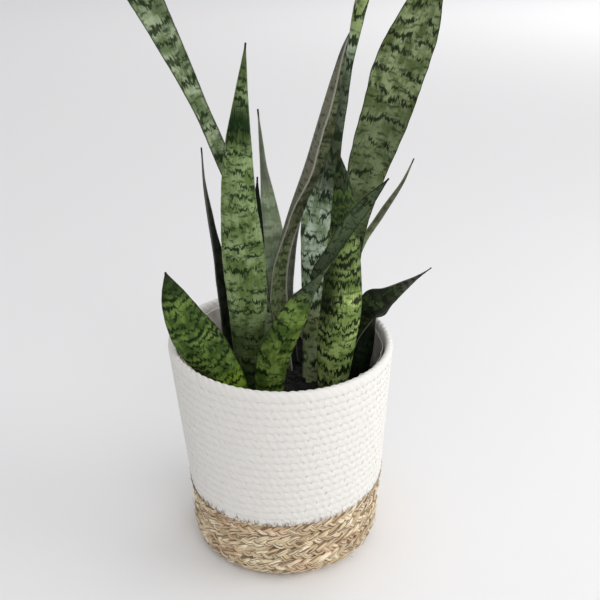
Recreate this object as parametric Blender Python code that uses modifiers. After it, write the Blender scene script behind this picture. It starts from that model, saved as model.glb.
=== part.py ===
"""Snake plant in a two-tone basket: cotton rope above, seagrass braid below.

Fifteen banded leaves stand in potting soil, which fills a thin plastic liner inside the basket.
Units are metres, +Z is up, and the origin is the middle of the basket's flat underside.
The side that the plant shows first looks along -Y.
"""

import math

import bpy
import numpy as np

# Driving dimensions of the basket
RIM_RADIUS = 0.1113
BASKET_HEIGHT = 0.2250
SEAM_HEIGHT = 0.0715
SEAM_RADIUS = 0.1003
FOOT_RADIUS = 0.0975
FOOT_ROUNDING = 0.007
WALL = 0.0080
FLOOR = 0.0080

# How the soft basket has slumped: its seam and rim stand to one side of its foot, the seam is
# higher at +X than at -X, and the rim is low towards one bearing
SEAM_LEAN = -0.0013
RIM_LEAN = 0.0027
SEAM_TILT = 0.0042
RIM_DIP = 0.0030
DIP_BEARING = math.radians(-40.0)

# Rope coils
TURN_STEPS = 36
COIL_COUNT = 18
COIL_RELIEF = 0.0015

# Seagrass braid
BRAID_PITCH = 0.0148
BRAID_ROWS = 4
BRAID_PROUD = 0.0015
BRAID_RELIEF = 0.0030
STRANDS_ROUND = 30
STRAND_STEPS = 3
STRAND_RELIEF = 0.0020

# Liner and soil
GAP = 0.0003
LINER_WALL = 0.0008
LINER_BELOW_RIM = 0.0050
LINER_WAVE = 0.0015
SOIL_LEVEL = 0.1720
SOIL_SWELL = 0.0030
SOIL_RINGS = 4

# Leaf sections
SECTION_POINTS = 5
RING_SPACING = 0.022
ROOT_THICKNESS = 0.0046
TIP_THICKNESS = 0.0020
MARGIN_THICKNESS = 0.0012
TIP_WIDTH = 0.0018
WAVE_LENGTH = 0.070
HOLE_CLEARANCE = 0.0004
HOLE_TOP = 0.190

SMOOTH_ANGLE = math.radians(50.0)

COLOURS = {
    "cotton_rope": (0.80, 0.78, 0.75),
    "seagrass": (0.52, 0.38, 0.21),
    "liner_film": (0.20, 0.17, 0.15),
    "soil": (0.030, 0.022, 0.016),
    "leaf_green": (0.085, 0.165, 0.045),
    "leaf_grey": (0.130, 0.175, 0.105),
    "leaf_dark": (0.030, 0.048, 0.022),
}

# Each leaf is a list of stations from root to tip: the place of its midrib and its width, in
# millimetres, the bearing, in degrees from +X towards +Y, that its hollow face looks to, and the
# depth of its channel, as a percentage of its width. wave is the height in millimetres of the
# waves along its margins.
LEAVES = {
    "leaf_low_left": {
        "colour": "leaf_green", "wave": 2.0,
        "stations": [
            (-37.4, -40, 147, 20, 95, 30), (-58.9, -47, 211, 37, 95, 20),
            (-75.8, -48, 239, 44, 95, 16), (-90.4, -45, 264, 38, 95, 14),
            (-100.4, -40, 288, 23, 95, 14), (-106.8, -35, 310, 0, 95, 14)],
    },
    "leaf_tall_front": {
        "colour": "leaf_green", "wave": 0.8,
        "stations": [
            (-35.4, -18, 147, 18, 90, 30), (-34.4, -25, 213, 27, 90, 18),
            (-33.4, -28, 270, 36, 90, 12), (-35.4, -29, 318, 39, 90, 10),
            (-38.4, -29, 376, 31, 90, 12), (-37.4, -27, 420, 24, 90, 14),
            (-33.9, -25, 460, 13, 90, 16), (-28.4, -23, 509, 0, 90, 20)],
    },
    "leaf_long_left": {
        "colour": "leaf_grey", "wave": 0.8,
        "stations": [
            (-13.4, 9, 147, 16, -90, 30), (-18.9, 7, 240, 17, -60, 25),
            (-31.1, 3, 335, 17, -50, 18), (-52.1, -10, 407, 14, -60, 16),
            (-74.1, -32, 473, 15, -65, 16), (-92.1, -50, 521, 21, -80, 14),
            (-118.1, -74, 586, 25.5, -90, 14), (-137.1, -92, 634, 0, -90, 14)],
    },
    "leaf_spike_left": {
        "colour": "leaf_dark", "wave": 0.6,
        "stations": [
            (-51.4, 11, 147, 14, -40, 30), (-54.1, 11, 216, 22, -45, 25),
            (-57.2, 9, 272, 21, -45, 22), (-64.7, 7, 325, 12, -30, 22),
            (-70.2, 5, 372, 6, -10, 22), (-71.7, 3, 415, 0, 0, 22)],
    },
    "leaf_dark_sliver": {
        "colour": "leaf_dark", "wave": 0.6,
        "stations": [
            (-31.4, 11, 147, 14, 90, 30), (-27.4, 15, 258, 19, 90, 20),
            (-24.4, 15, 330, 13, 90, 20), (-22.4, 15, 384, 0, 90, 20)],
    },
    "leaf_curled_tip": {
        "colour": "leaf_grey", "wave": 1.0,
        "stations": [
            (-13.4, 39, 147, 18, 90, 30), (-10.4, 47, 250, 30, 90, 18),
            (-11.6, 53, 313, 26, 90, 14), (-14, 55, 354, 13.5, 90, 16),
            (-17.5, 55, 385, 6, 90, 20), (-19, 54, 405, 4, 90, 20), (-21.5, 53, 439, 0, 90, 20)],
    },
    "leaf_folded": {
        "colour": "leaf_grey", "wave": 0.8,
        "stations": [
            (2.6, 23, 147, 16, -80, 34), (-5.5, 24, 240, 20, -70, 30),
            (-3.6, 25, 291, 17, -52, 34), (10.3, 28, 342, 22, -34, 40),
            (28.5, 28, 391, 33, -27, 42), (41.5, 25, 439, 29, -27, 42),
            (51.9, 21, 478, 22.5, -27, 40), (57.7, 19, 500, 13, -30, 36),
            (62.5, 17, 514, 0, -34, 30)],
    },
    "leaf_long_centre": {
        "colour": "leaf_grey", "wave": 0.8,
        "stations": [
            (26.6, -3, 147, 16, 90, 30), (29.4, 3, 241, 20, 90, 24), (31.6, 8, 313, 27, 90, 16),
            (34.2, 8.5, 342, 31, 88, 16), (38.7, 8, 366, 24, 84, 16), (48.1, 3, 408, 12, 60, 20),
            (56, -7, 475, 10, 40, 24), (63.6, -15, 525, 11, 50, 24),
            (75.6, -29, 580, 13, 80, 18), (86.6, -45, 637, 0, 90, 16)],
    },
    "leaf_crossing": {
        "colour": "leaf_green", "wave": 1.2,
        "stations": [
            (-13.4, -43, 147, 22, 90, 26), (-9.4, -49, 225, 30, 95, 16),
            (4.6, -52, 260, 30, 105, 18), (20.8, -52, 288, 25, 135, 32),
            (32.3, -51, 311, 18, 180, 42), (44.6, -49, 333, 13.5, 225, 32),
            (55.1, -47, 352, 14, 250, 20), (72.6, -45, 375, 11.5, 260, 16),
            (92.6, -43, 398, 0, 265, 16)],
    },
    "leaf_broad_front": {
        "colour": "leaf_green", "wave": 1.0,
        "stations": [
            (45.6, -21, 147, 22, 80, 32), (50.1, -27, 223, 36, 85, 26),
            (54.6, -29, 270, 38, 85, 24), (55.6, -27, 318, 31.5, 85, 24),
            (56.1, -25, 360, 23, 85, 22), (53.6, -23, 390, 14, 90, 22),
            (49.6, -21, 418, 0, 90, 22)],
    },
    "leaf_long_right": {
        "colour": "leaf_green", "wave": 0.7,
        "stations": [
            (46.6, 14, 147, 24, -90, 26), (54.1, 20, 210, 27, -90, 18),
            (61.6, 22, 285, 26, -90, 12), (69.5, 18, 344, 28.5, -88, 10),
            (82.6, 11, 404, 40, -85, 10), (94.3, 5, 447, 45.5, -85, 10),
            (103.8, -2, 487, 47, -85, 10), (114.8, -8, 520, 40, -85, 12),
            (121.8, -12, 545, 27, -85, 14), (135.8, -22, 605, 0, -85, 16)],
    },
    "leaf_spike_right": {
        "colour": "leaf_grey", "wave": 0.5,
        "stations": [
            (36.6, 37, 147, 12, 125, 30), (65.1, 48, 253, 12, 125, 25),
            (81.5, 48, 305, 11, 128, 22), (99.5, 45, 337, 9, 130, 20),
            (117.5, 41, 370, 4.5, 130, 20), (126.5, 38, 394, 0, 130, 20)],
    },
    "leaf_drooping_right": {
        "colour": "leaf_dark", "wave": 2.0,
        "stations": [
            (58.6, 31, 147, 20, 100, 28), (71.6, 31, 210, 27, 100, 20),
            (84.6, 32, 235.5, 28, 100, 16), (96.5, 33, 244, 37, 100, 16),
            (107.5, 34.5, 251, 23, 104, 18), (125.6, 37, 263, 9, 110, 20),
            (150.6, 39, 281, 0, 110, 20)],
    },
    "leaf_short_right": {
        "colour": "leaf_dark", "wave": 0.8,
        "stations": [
            (69.6, 0, 147, 18, 100, 28), (78.6, 10, 187, 24, 105, 22),
            (84.6, 14, 210, 19, 110, 20), (93.6, 17, 240, 0, 110, 20)],
    },
    "leaf_small_centre": {
        "colour": "leaf_grey", "wave": 0.5,
        "stations": [
            (11.6, 37, 147, 13, -60, 28), (4.3, 41, 257, 13, -60, 24),
            (9.3, 45, 299, 9, -60, 22), (20.4, 47, 339, 0, -60, 22)],
    },
}


def clear_scene():
    for old in list(bpy.data.objects):
        bpy.data.objects.remove(old, do_unlink=True)


def new_collection(name):
    group = bpy.data.collections.new(name)
    bpy.context.scene.collection.children.link(group)
    return group


def principled(name, colour, roughness):
    material = bpy.data.materials.new(name)
    material.use_nodes = True
    shader = material.node_tree.nodes["Principled BSDF"]
    shader.inputs["Base Color"].default_value = (*colour, 1.0)
    shader.inputs["Roughness"].default_value = roughness
    shader.inputs["Metallic"].default_value = 0.0
    return material


def mesh_object(name, mesh, group):
    thing = bpy.data.objects.new(name, mesh)
    group.objects.link(thing)
    return thing


def smooth_shading(mesh):
    mesh.shade_smooth()
    mesh.set_sharp_from_angle(angle=SMOOTH_ANGLE)


def evaluated_mesh(thing):
    """The object's mesh with its modifiers applied."""
    graph = bpy.context.evaluated_depsgraph_get()
    return bpy.data.meshes.new_from_object(thing.evaluated_get(graph))


def apply_modifiers(thing):
    """Put the evaluated mesh in the modifiers' place, so that its points can be moved."""
    mesh = evaluated_mesh(thing)
    thing.modifiers.clear()
    thing.data = mesh
    return thing


def turned(name, profile, steps, group, closed=True):
    """A profile of (radius, height) points carried round the Z axis.

    The points run down the outer side first. A closed profile ends where it began, and an open
    one may start or end on the axis.
    """
    mesh = bpy.data.meshes.new(name)
    points = [(radius, 0.0, height) for radius, height in profile]
    edges = [(i, i + 1) for i in range(len(points) - 1)]
    if closed:
        edges.append((len(points) - 1, 0))
    mesh.from_pydata(points, edges, [])
    thing = mesh_object(name, mesh, group)
    screw = thing.modifiers.new("turn", "SCREW")
    screw.axis = "Z"
    screw.angle = 2.0 * math.pi
    screw.steps = steps
    screw.render_steps = steps
    screw.use_merge_vertices = True
    screw.merge_threshold = 0.00001
    apply_modifiers(thing)
    smooth_shading(thing.data)
    return thing


def wall_radius(height):
    """Outer radius of the basket at a height: a cone that widens a little above the seam."""
    if height > SEAM_HEIGHT:
        share = (height - SEAM_HEIGHT) / (BASKET_HEIGHT - SEAM_HEIGHT)
        return SEAM_RADIUS + (RIM_RADIUS - SEAM_RADIUS) * share
    share = height / SEAM_HEIGHT
    return FOOT_RADIUS + (SEAM_RADIUS - FOOT_RADIUS) * share


def slump(thing):
    """Lean the basket sideways, tilt its seam and lower one side of its rim."""
    for point in thing.data.vertices:
        x, y, height = point.co
        below = min(height / SEAM_HEIGHT, 1.0)
        above = min(max((height - SEAM_HEIGHT) / (BASKET_HEIGHT - SEAM_HEIGHT), 0.0), 1.0)
        towards = (x * math.cos(DIP_BEARING) + y * math.sin(DIP_BEARING)) / RIM_RADIUS
        lean = SEAM_LEAN * below + (RIM_LEAN - SEAM_LEAN) * above
        lift = SEAM_TILT * below * (1.0 - above) * x / RIM_RADIUS - RIM_DIP * above * towards
        point.co = (x - lean, y, height + lift)
    thing.data.update()


def rope_wall(group):
    """Coils of rope one above the other: each is a rounded ridge on the outer side."""
    bottom = SEAM_HEIGHT + GAP
    pitch = (BASKET_HEIGHT - bottom) / COIL_COUNT
    outer = []
    for coil in range(COIL_COUNT):
        top = BASKET_HEIGHT - coil * pitch
        for share, depth in ((0.0, COIL_RELIEF), (0.28, 0.0), (0.72, 0.0)):
            height = top - share * pitch
            if coil == 0 and share == 0.0:
                continue
            outer.append((wall_radius(height) - depth, height))
    outer.append((wall_radius(bottom) - COIL_RELIEF, bottom))
    inner = [
        (wall_radius(bottom) - WALL, bottom),
        (wall_radius(BASKET_HEIGHT) - WALL, BASKET_HEIGHT - 0.28 * pitch),
    ]
    crown = [
        (wall_radius(BASKET_HEIGHT) - 0.65 * WALL, BASKET_HEIGHT),
        (wall_radius(BASKET_HEIGHT) - 0.30 * WALL, BASKET_HEIGHT),
    ]
    wall = turned("cotton_rope_wall", outer + inner + crown, TURN_STEPS, group)
    slump(wall)
    return wall


def foot_profile(share):
    """Radius and height on the rounded lower edge of the basket."""
    angle = 0.5 * math.pi * share
    radius = FOOT_RADIUS - FOOT_ROUNDING * (1.0 - math.cos(angle))
    height = FOOT_ROUNDING * (1.0 - math.sin(angle))
    return radius, height


def seagrass_base(group):
    """A braided cup: rows of braid with slanting strands, leaning one way and then the other."""
    outer = []
    for i in range(BRAID_ROWS):
        for share in (0.0, 0.25, 0.5, 0.75):
            height = SEAM_HEIGHT - (i + share) * BRAID_PITCH
            outer.append((wall_radius(height), height))
    foot = [foot_profile(share) for share in (0.0, 0.5, 1.0)]
    inside = [
        (0.0, 0.0),
        (0.0, FLOOR),
        (wall_radius(FLOOR) - WALL, FLOOR),
        (wall_radius(SEAM_HEIGHT) - WALL, SEAM_HEIGHT),
    ]
    steps = STRANDS_ROUND * STRAND_STEPS
    cup = turned("seagrass_base", outer + foot + inside, steps, group)
    for point in cup.data.vertices:
        x, y, height = point.co
        radius = math.hypot(x, y)
        on_wall = radius > wall_radius(height) - 0.5 * WALL
        if not on_wall or height < FOOT_ROUNDING + 0.001:
            continue
        shift = braid_relief(math.atan2(y, x), height)
        point.co = (x * (1.0 + shift / radius), y * (1.0 + shift / radius), height)
    slump(cup)
    return cup


def braid_relief(angle, height):
    """How far the braid stands out: a bulge for each half row, cut into slanting strands."""
    place = (SEAM_HEIGHT - height) / BRAID_PITCH
    half = int(2.0 * place + 0.001) % 2
    bulge = abs(math.sin(math.pi * place))
    slant = 0.25 if half else -0.25
    turn = STRANDS_ROUND * angle / (2.0 * math.pi)
    strand = 0.5 * (1.0 + math.cos(2.0 * math.pi * (turn + slant)))
    return BRAID_PROUD - BRAID_RELIEF * (1.0 - bulge) - STRAND_RELIEF * bulge * (1.0 - strand)


def liner_outside(height):
    return wall_radius(height) - WALL - GAP


def plastic_liner(group):
    """A thin loose film cup whose top edge waves a little below the rim."""
    bottom = FLOOR + GAP
    top = BASKET_HEIGHT - LINER_BELOW_RIM
    heights = (top, 0.196, SOIL_LEVEL, SEAM_HEIGHT, bottom)
    profile = [(liner_outside(max(height, 0.0)), height) for height in heights]
    profile.append((0.0, bottom))
    liner = turned("plastic_liner", profile, TURN_STEPS, group, closed=False)
    for point in liner.data.vertices:
        x, y, height = point.co
        if height < top - 0.001:
            continue
        angle = math.atan2(y, x)
        wave = math.sin(5.0 * angle + 0.6) + 0.6 * math.sin(11.0 * angle + 2.0)
        point.co.z = height + LINER_WAVE * wave
    slump(liner)
    film = liner.modifiers.new("film", "SOLIDIFY")
    film.thickness = LINER_WALL
    film.offset = -1.0
    film.use_even_offset = True
    return liner


def soil_height(x, y):
    """The soil's uneven top: a shallow heap in the middle and two slow waves across it."""
    reach = liner_outside(SOIL_LEVEL)
    heap = 0.5 * SOIL_SWELL * (1.0 - (x * x + y * y) / (reach * reach))
    waves = 0.3 * SOIL_SWELL * (math.sin(70.0 * x + 1.0) + math.cos(85.0 * y))
    return SOIL_LEVEL + heap + waves


def potting_soil(group):
    """Soil that fills the liner, with an uneven top."""
    bottom = FLOOR + 2.0 * GAP + LINER_WALL
    inset = LINER_WALL + GAP
    reach = liner_outside(SOIL_LEVEL) - inset
    top = [(reach * (ring + 1) / SOIL_RINGS, SOIL_LEVEL) for ring in range(SOIL_RINGS)]
    side = [
        (liner_outside(SEAM_HEIGHT) - inset, SEAM_HEIGHT),
        (liner_outside(bottom) - inset, bottom),
        (0.0, bottom),
    ]
    profile = [(0.0, SOIL_LEVEL)] + top + side
    soil = turned("potting_soil", profile, TURN_STEPS, group, closed=False)
    for point in soil.data.vertices:
        if point.co.z > SOIL_LEVEL - 0.001:
            point.co.z = soil_height(point.co.x, point.co.y)
    slump(soil)
    return soil


def smooth_stations(stations, count):
    """Stations read from a smooth curve through the given ones, evenly along its length.

    Between two stations each column is a cubic whose slope at a station is that of the
    neighbours on both sides.
    """
    rows = np.array(stations, dtype=float)
    run = np.linalg.norm(np.diff(rows[:, :3], axis=0), axis=1)
    place = np.concatenate(([0.0], np.cumsum(run)))
    slope = np.gradient(rows, place, axis=0)
    at = np.linspace(0.0, place[-1], count)
    left = np.clip(np.searchsorted(place, at, side="right") - 1, 0, len(place) - 2)
    span = (place[left + 1] - place[left])[:, None]
    t = (at - place[left])[:, None] / span
    return (
        rows[left] * (2 * t**3 - 3 * t**2 + 1)
        + slope[left] * span * (t**3 - 2 * t**2 + t)
        + rows[left + 1] * (3 * t**2 - 2 * t**3)
        + slope[left + 1] * span * (t**3 - t**2)
    )


def leaf_frames(leaf, count):
    """Midrib points, directions along, across and out of the face, widths and channel depths."""
    rows = smooth_stations(leaf["stations"], count)
    spine = rows[:, :3] * 0.001
    width = np.maximum(rows[:, 3] * 0.001, TIP_WIDTH)
    bearing = np.radians(rows[:, 4])
    along = np.gradient(spine, axis=0)
    along /= np.linalg.norm(along, axis=1)[:, None]
    face = np.stack([np.cos(bearing), np.sin(bearing), np.zeros(count)], axis=1)
    face -= along * np.sum(face * along, axis=1)[:, None]
    face /= np.linalg.norm(face, axis=1)[:, None]
    across = np.cross(along, face)
    depth = 0.01 * rows[:, 5] * width
    return spine, along, across, face, width, depth


def leaf_length(leaf):
    rows = np.array(leaf["stations"], dtype=float)[:, :3] * 0.001
    return float(np.linalg.norm(np.diff(rows, axis=0), axis=1).sum())


def leaf_rings(leaf, grow=0.0):
    """Rings of points round the leaf, from root to tip: the hollow face, then the back.

    The middle of the section is a parabola as deep as the channel, and the skin stands off it
    along its normal. The blade is thickest at the midrib, and its margins wave along the leaf in
    opposite ways. With grow, the skin stands off further, and the rings end above the soil.
    """
    length = leaf_length(leaf)
    count = int(round(length / RING_SPACING)) + 3
    spine, along, across, face, width, depth = leaf_frames(leaf, count)
    share = np.linspace(0.0, 1.0, count)
    thick = ROOT_THICKNESS + (TIP_THICKNESS - ROOT_THICKNESS) * np.sqrt(share)
    thick = np.minimum(thick, 0.25 * width + MARGIN_THICKNESS)[:, None]
    u = np.linspace(-1.0, 1.0, SECTION_POINTS)[None, :]
    wave = 0.001 * leaf["wave"] * np.sin(math.pi * share)[:, None] ** 0.5
    phase = 2.0 * math.pi * share[:, None] * length / WAVE_LENGTH
    sideways = 0.5 * width[:, None] * u
    forward = depth[:, None] * (u**2 - 0.35) + wave * u**2 * np.sin(phase + 1.3 * u)
    slope = 4.0 * (depth / width)[:, None] * u
    unit = 1.0 / np.sqrt(1.0 + slope**2)
    half = 0.5 * (MARGIN_THICKNESS + (thick - MARGIN_THICKNESS) * (1.0 - u**2)) + grow
    margin = grow * np.sign(u) * (np.abs(u) == 1.0)
    sides = []
    for side in (1.0, -1.0):
        out_across = sideways - side * half * slope * unit + margin * unit
        out_face = forward + side * half * unit + margin * slope * unit
        points = spine[:, None, :] + across[:, None, :] * out_across[:, :, None]
        sides.append(points + face[:, None, :] * out_face[:, :, None])
    rings = np.concatenate([sides[0], sides[1][:, ::-1, :]], axis=1)
    if grow:
        rings[0] -= along[0] * grow
        keep = int(np.searchsorted(spine[:, 2], HOLE_TOP)) + 1
        rings = rings[:keep]
    return rings


def loft(name, rings, group):
    """A closed skin over the rings, with front and back split into triangles alike."""
    count, size, _ = rings.shape
    half = size // 2
    faces = []
    for i in range(count - 1):
        lower = i * size
        upper = lower + size
        for j in range(size):
            k = (j + 1) % size
            a, b, c, d = lower + j, lower + k, upper + k, upper + j
            if j < half:
                faces += [(a, b, c), (a, c, d)]
            else:
                faces += [(a, b, d), (b, c, d)]
    for ring, flip in ((0, False), (count - 1, True)):
        start = ring * size
        for j in range(half - 1):
            far = size - 1 - j
            quad = (start + j, start + far, start + far - 1, start + j + 1)
            faces.append(quad[::-1] if flip else quad)
    mesh = bpy.data.meshes.new(name)
    mesh.from_pydata(rings.reshape(-1, 3).tolist(), [], faces)
    mesh.validate()
    smooth_shading(mesh)
    return mesh_object(name, mesh, group)


def cut_leaf_holes(soil, cutters):
    """Plain holes in the soil, a hair wider than the leaf bases that stand in them."""
    for name, leaf in LEAVES.items():
        cutter = loft("hole_of_" + name, leaf_rings(leaf, HOLE_CLEARANCE), cutters)
        cutter.hide_render = True
        cutter.display_type = "WIRE"
    holes = soil.modifiers.new("leaf_holes", "BOOLEAN")
    holes.operation = "DIFFERENCE"
    holes.solver = "EXACT"
    holes.operand_type = "COLLECTION"
    holes.collection = cutters
    return soil


def main():
    clear_scene()
    plant = new_collection("potted_snake_plant")
    cutters = new_collection("cutters")
    finish = {
        name: principled(name, colour, 0.45 if name.startswith("leaf") else 0.85)
        for name, colour in COLOURS.items()
    }
    finish["liner_film"].node_tree.nodes["Principled BSDF"].inputs["Roughness"].default_value = 0.3

    rope = rope_wall(plant)
    rope.data.materials.append(finish["cotton_rope"])
    base = seagrass_base(plant)
    base.data.materials.append(finish["seagrass"])
    liner = plastic_liner(plant)
    liner.data.materials.append(finish["liner_film"])
    soil = potting_soil(plant)
    cut_leaf_holes(soil, cutters)
    soil.data.materials.append(finish["soil"])
    for name, leaf in LEAVES.items():
        blade = loft(name, leaf_rings(leaf), plant)
        blade.data.materials.append(finish[leaf["colour"]])


main()
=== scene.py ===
"""Potted snake plant: the finished surfaces of the leaves, the soil, the liner and the basket.

Sizes are in metres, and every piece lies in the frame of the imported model.
"""

import math

import bpy
import numpy as np
from bpy.props import FloatProperty, FloatVectorProperty, IntProperty, PointerProperty
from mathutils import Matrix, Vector


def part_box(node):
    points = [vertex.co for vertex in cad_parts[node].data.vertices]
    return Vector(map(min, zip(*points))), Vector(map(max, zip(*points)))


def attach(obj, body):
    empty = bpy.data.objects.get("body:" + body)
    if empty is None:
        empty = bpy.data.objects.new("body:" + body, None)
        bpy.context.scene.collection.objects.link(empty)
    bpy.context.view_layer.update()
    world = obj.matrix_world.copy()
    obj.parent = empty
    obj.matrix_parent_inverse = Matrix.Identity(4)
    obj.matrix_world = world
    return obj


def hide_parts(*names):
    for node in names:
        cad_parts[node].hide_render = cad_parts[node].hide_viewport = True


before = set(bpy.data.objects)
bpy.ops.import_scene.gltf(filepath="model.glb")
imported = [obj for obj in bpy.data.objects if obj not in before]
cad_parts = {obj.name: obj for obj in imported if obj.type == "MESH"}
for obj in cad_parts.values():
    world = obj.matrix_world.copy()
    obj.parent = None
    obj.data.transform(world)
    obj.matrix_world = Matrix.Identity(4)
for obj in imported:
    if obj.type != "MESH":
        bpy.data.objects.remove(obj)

bl_info = {
    "name": "Potted snake plant",
    "version": (1, 0, 0),
    "blender": (4, 5, 0),
    "location": "3D View > Sidebar > Plant",
    "description": "Banded leaves, soil and film in a basket of cotton rope and seagrass braid",
    "category": "Add Mesh",
}

BODY = "root"
MILLI = 0.001
TURN = 2.0 * math.pi

# The basket's sizes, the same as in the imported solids
ROPE_LOW, ROPE_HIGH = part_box("cotton_rope_wall")
RIM_HEIGHT = 0.2250
RIM_RADIUS = 0.5 * (ROPE_HIGH[0] - ROPE_LOW[0])
SEAM_HEIGHT = 0.0715
SEAM_RADIUS = 0.1003
FOOT_RADIUS = 0.0975
WALL = 0.0080

# How the soft basket has slumped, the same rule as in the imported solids
SEAM_LEAN = -0.0013
RIM_LEAN = 0.0027
SEAM_TILT = 0.0042
RIM_DIP = 0.0030
DIP_BEARING = math.radians(-40.0)

# The soil's level and the liner's place
SOIL_LEVEL = 0.1720
SOIL_SWELL = 0.0030
LINER_GAP = 0.0003
LINER_BELOW_RIM = 0.0050

# Turns from the seam at which the braid starts and ends, and the part of a turn in which it steps
# down a row
BRAID_START = -0.15
BRAID_END = 10.8
ROW_STEP = 0.15

# Leaf sections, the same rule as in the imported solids, with finer tips. WAVE_LAG is how far the
# waves of the margins stand apart, and CHANNEL_REST the level of the channel's middle
ROOT_THICKNESS = 0.0046
TIP_THICKNESS = 0.0020
MARGIN_THICKNESS = 0.0012
TIP_WIDTH = 0.0012
WAVE_LENGTH = 0.070
WAVE_LAG = 1.3
CHANNEL_REST = 0.35

# The wax's faint shine, and how softly the painted side shadow and the tints end as a share of the
# leaf
WAX_GLOSS = 0.10
PAINTED_SHADOW_BLUR = 0.05
TINT_BLUR = 0.04

# The heights over which a band turns dark, the reach of the line along the margin and of the dry
# tip, half the length of a bright arc, and their colours
BAND_EDGE = (-0.10, 0.22)
MARGIN_REACH = (0.0003, 0.0012)
DRY_TIP_REACH = (0.003, 0.011)
DRY_TIP = (40, 36, 28)
ARC_HALF = 0.0026
BRIGHT_ARC = (92, 120, 50)

# Where the camera stands, and how it is turned in degrees
CAMERA_PLACE = (-0.0014, -0.7386, 0.5992)
CAMERA_TURNS = (65.63, 0.14, -1.46)

# Each leaf has its stations from root to tip: the place of its midrib and its width, in
# millimetres, the bearing of its hollow face in degrees and the depth of its channel as a
# percentage of its width. wave is the height of the waves along its margins in millimetres.
# Colours are as the eye sees them, from 0 to 255: the pale and the middle green, the dark of the
# bands, the line along the edge, and the back where it differs. bars are the shares of the length
# where a dark bar crosses the leaf. A leaf without them has even bands. spacing is the length that
# a band takes with its gap and jag the length of its teeth, both in millimetres. width, bands and
# patch say how thick, how strong and how broken the bands are, smudge how strong the soft spots
# between them, vee how far they hang down in the middle, margin how clear the line at the edge.
# tints are stretches of the length with a colour of their own: the shares of the length where
# each starts and ends, its colour and its strength. Most are the leaf's own colours; the darker
# ones that start at the root are painted shade low in the pot. The side shadow is one more on one
# side of the midrib only, a painted shadow cast by a neighbouring leaf, and its third number says
# on which. arcs are the shares where a thin bright arc crosses.
# What a leaf doesn't say is as PLAIN_LEAF says.
PLAIN_LEAF = dict(
    slot="leaf_grey", wave=0.8, spacing=12, width=0.3, bands=0.5, smudge=0.3, jag=12, patch=1.4,
    vee=0, margin=0.7)
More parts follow.
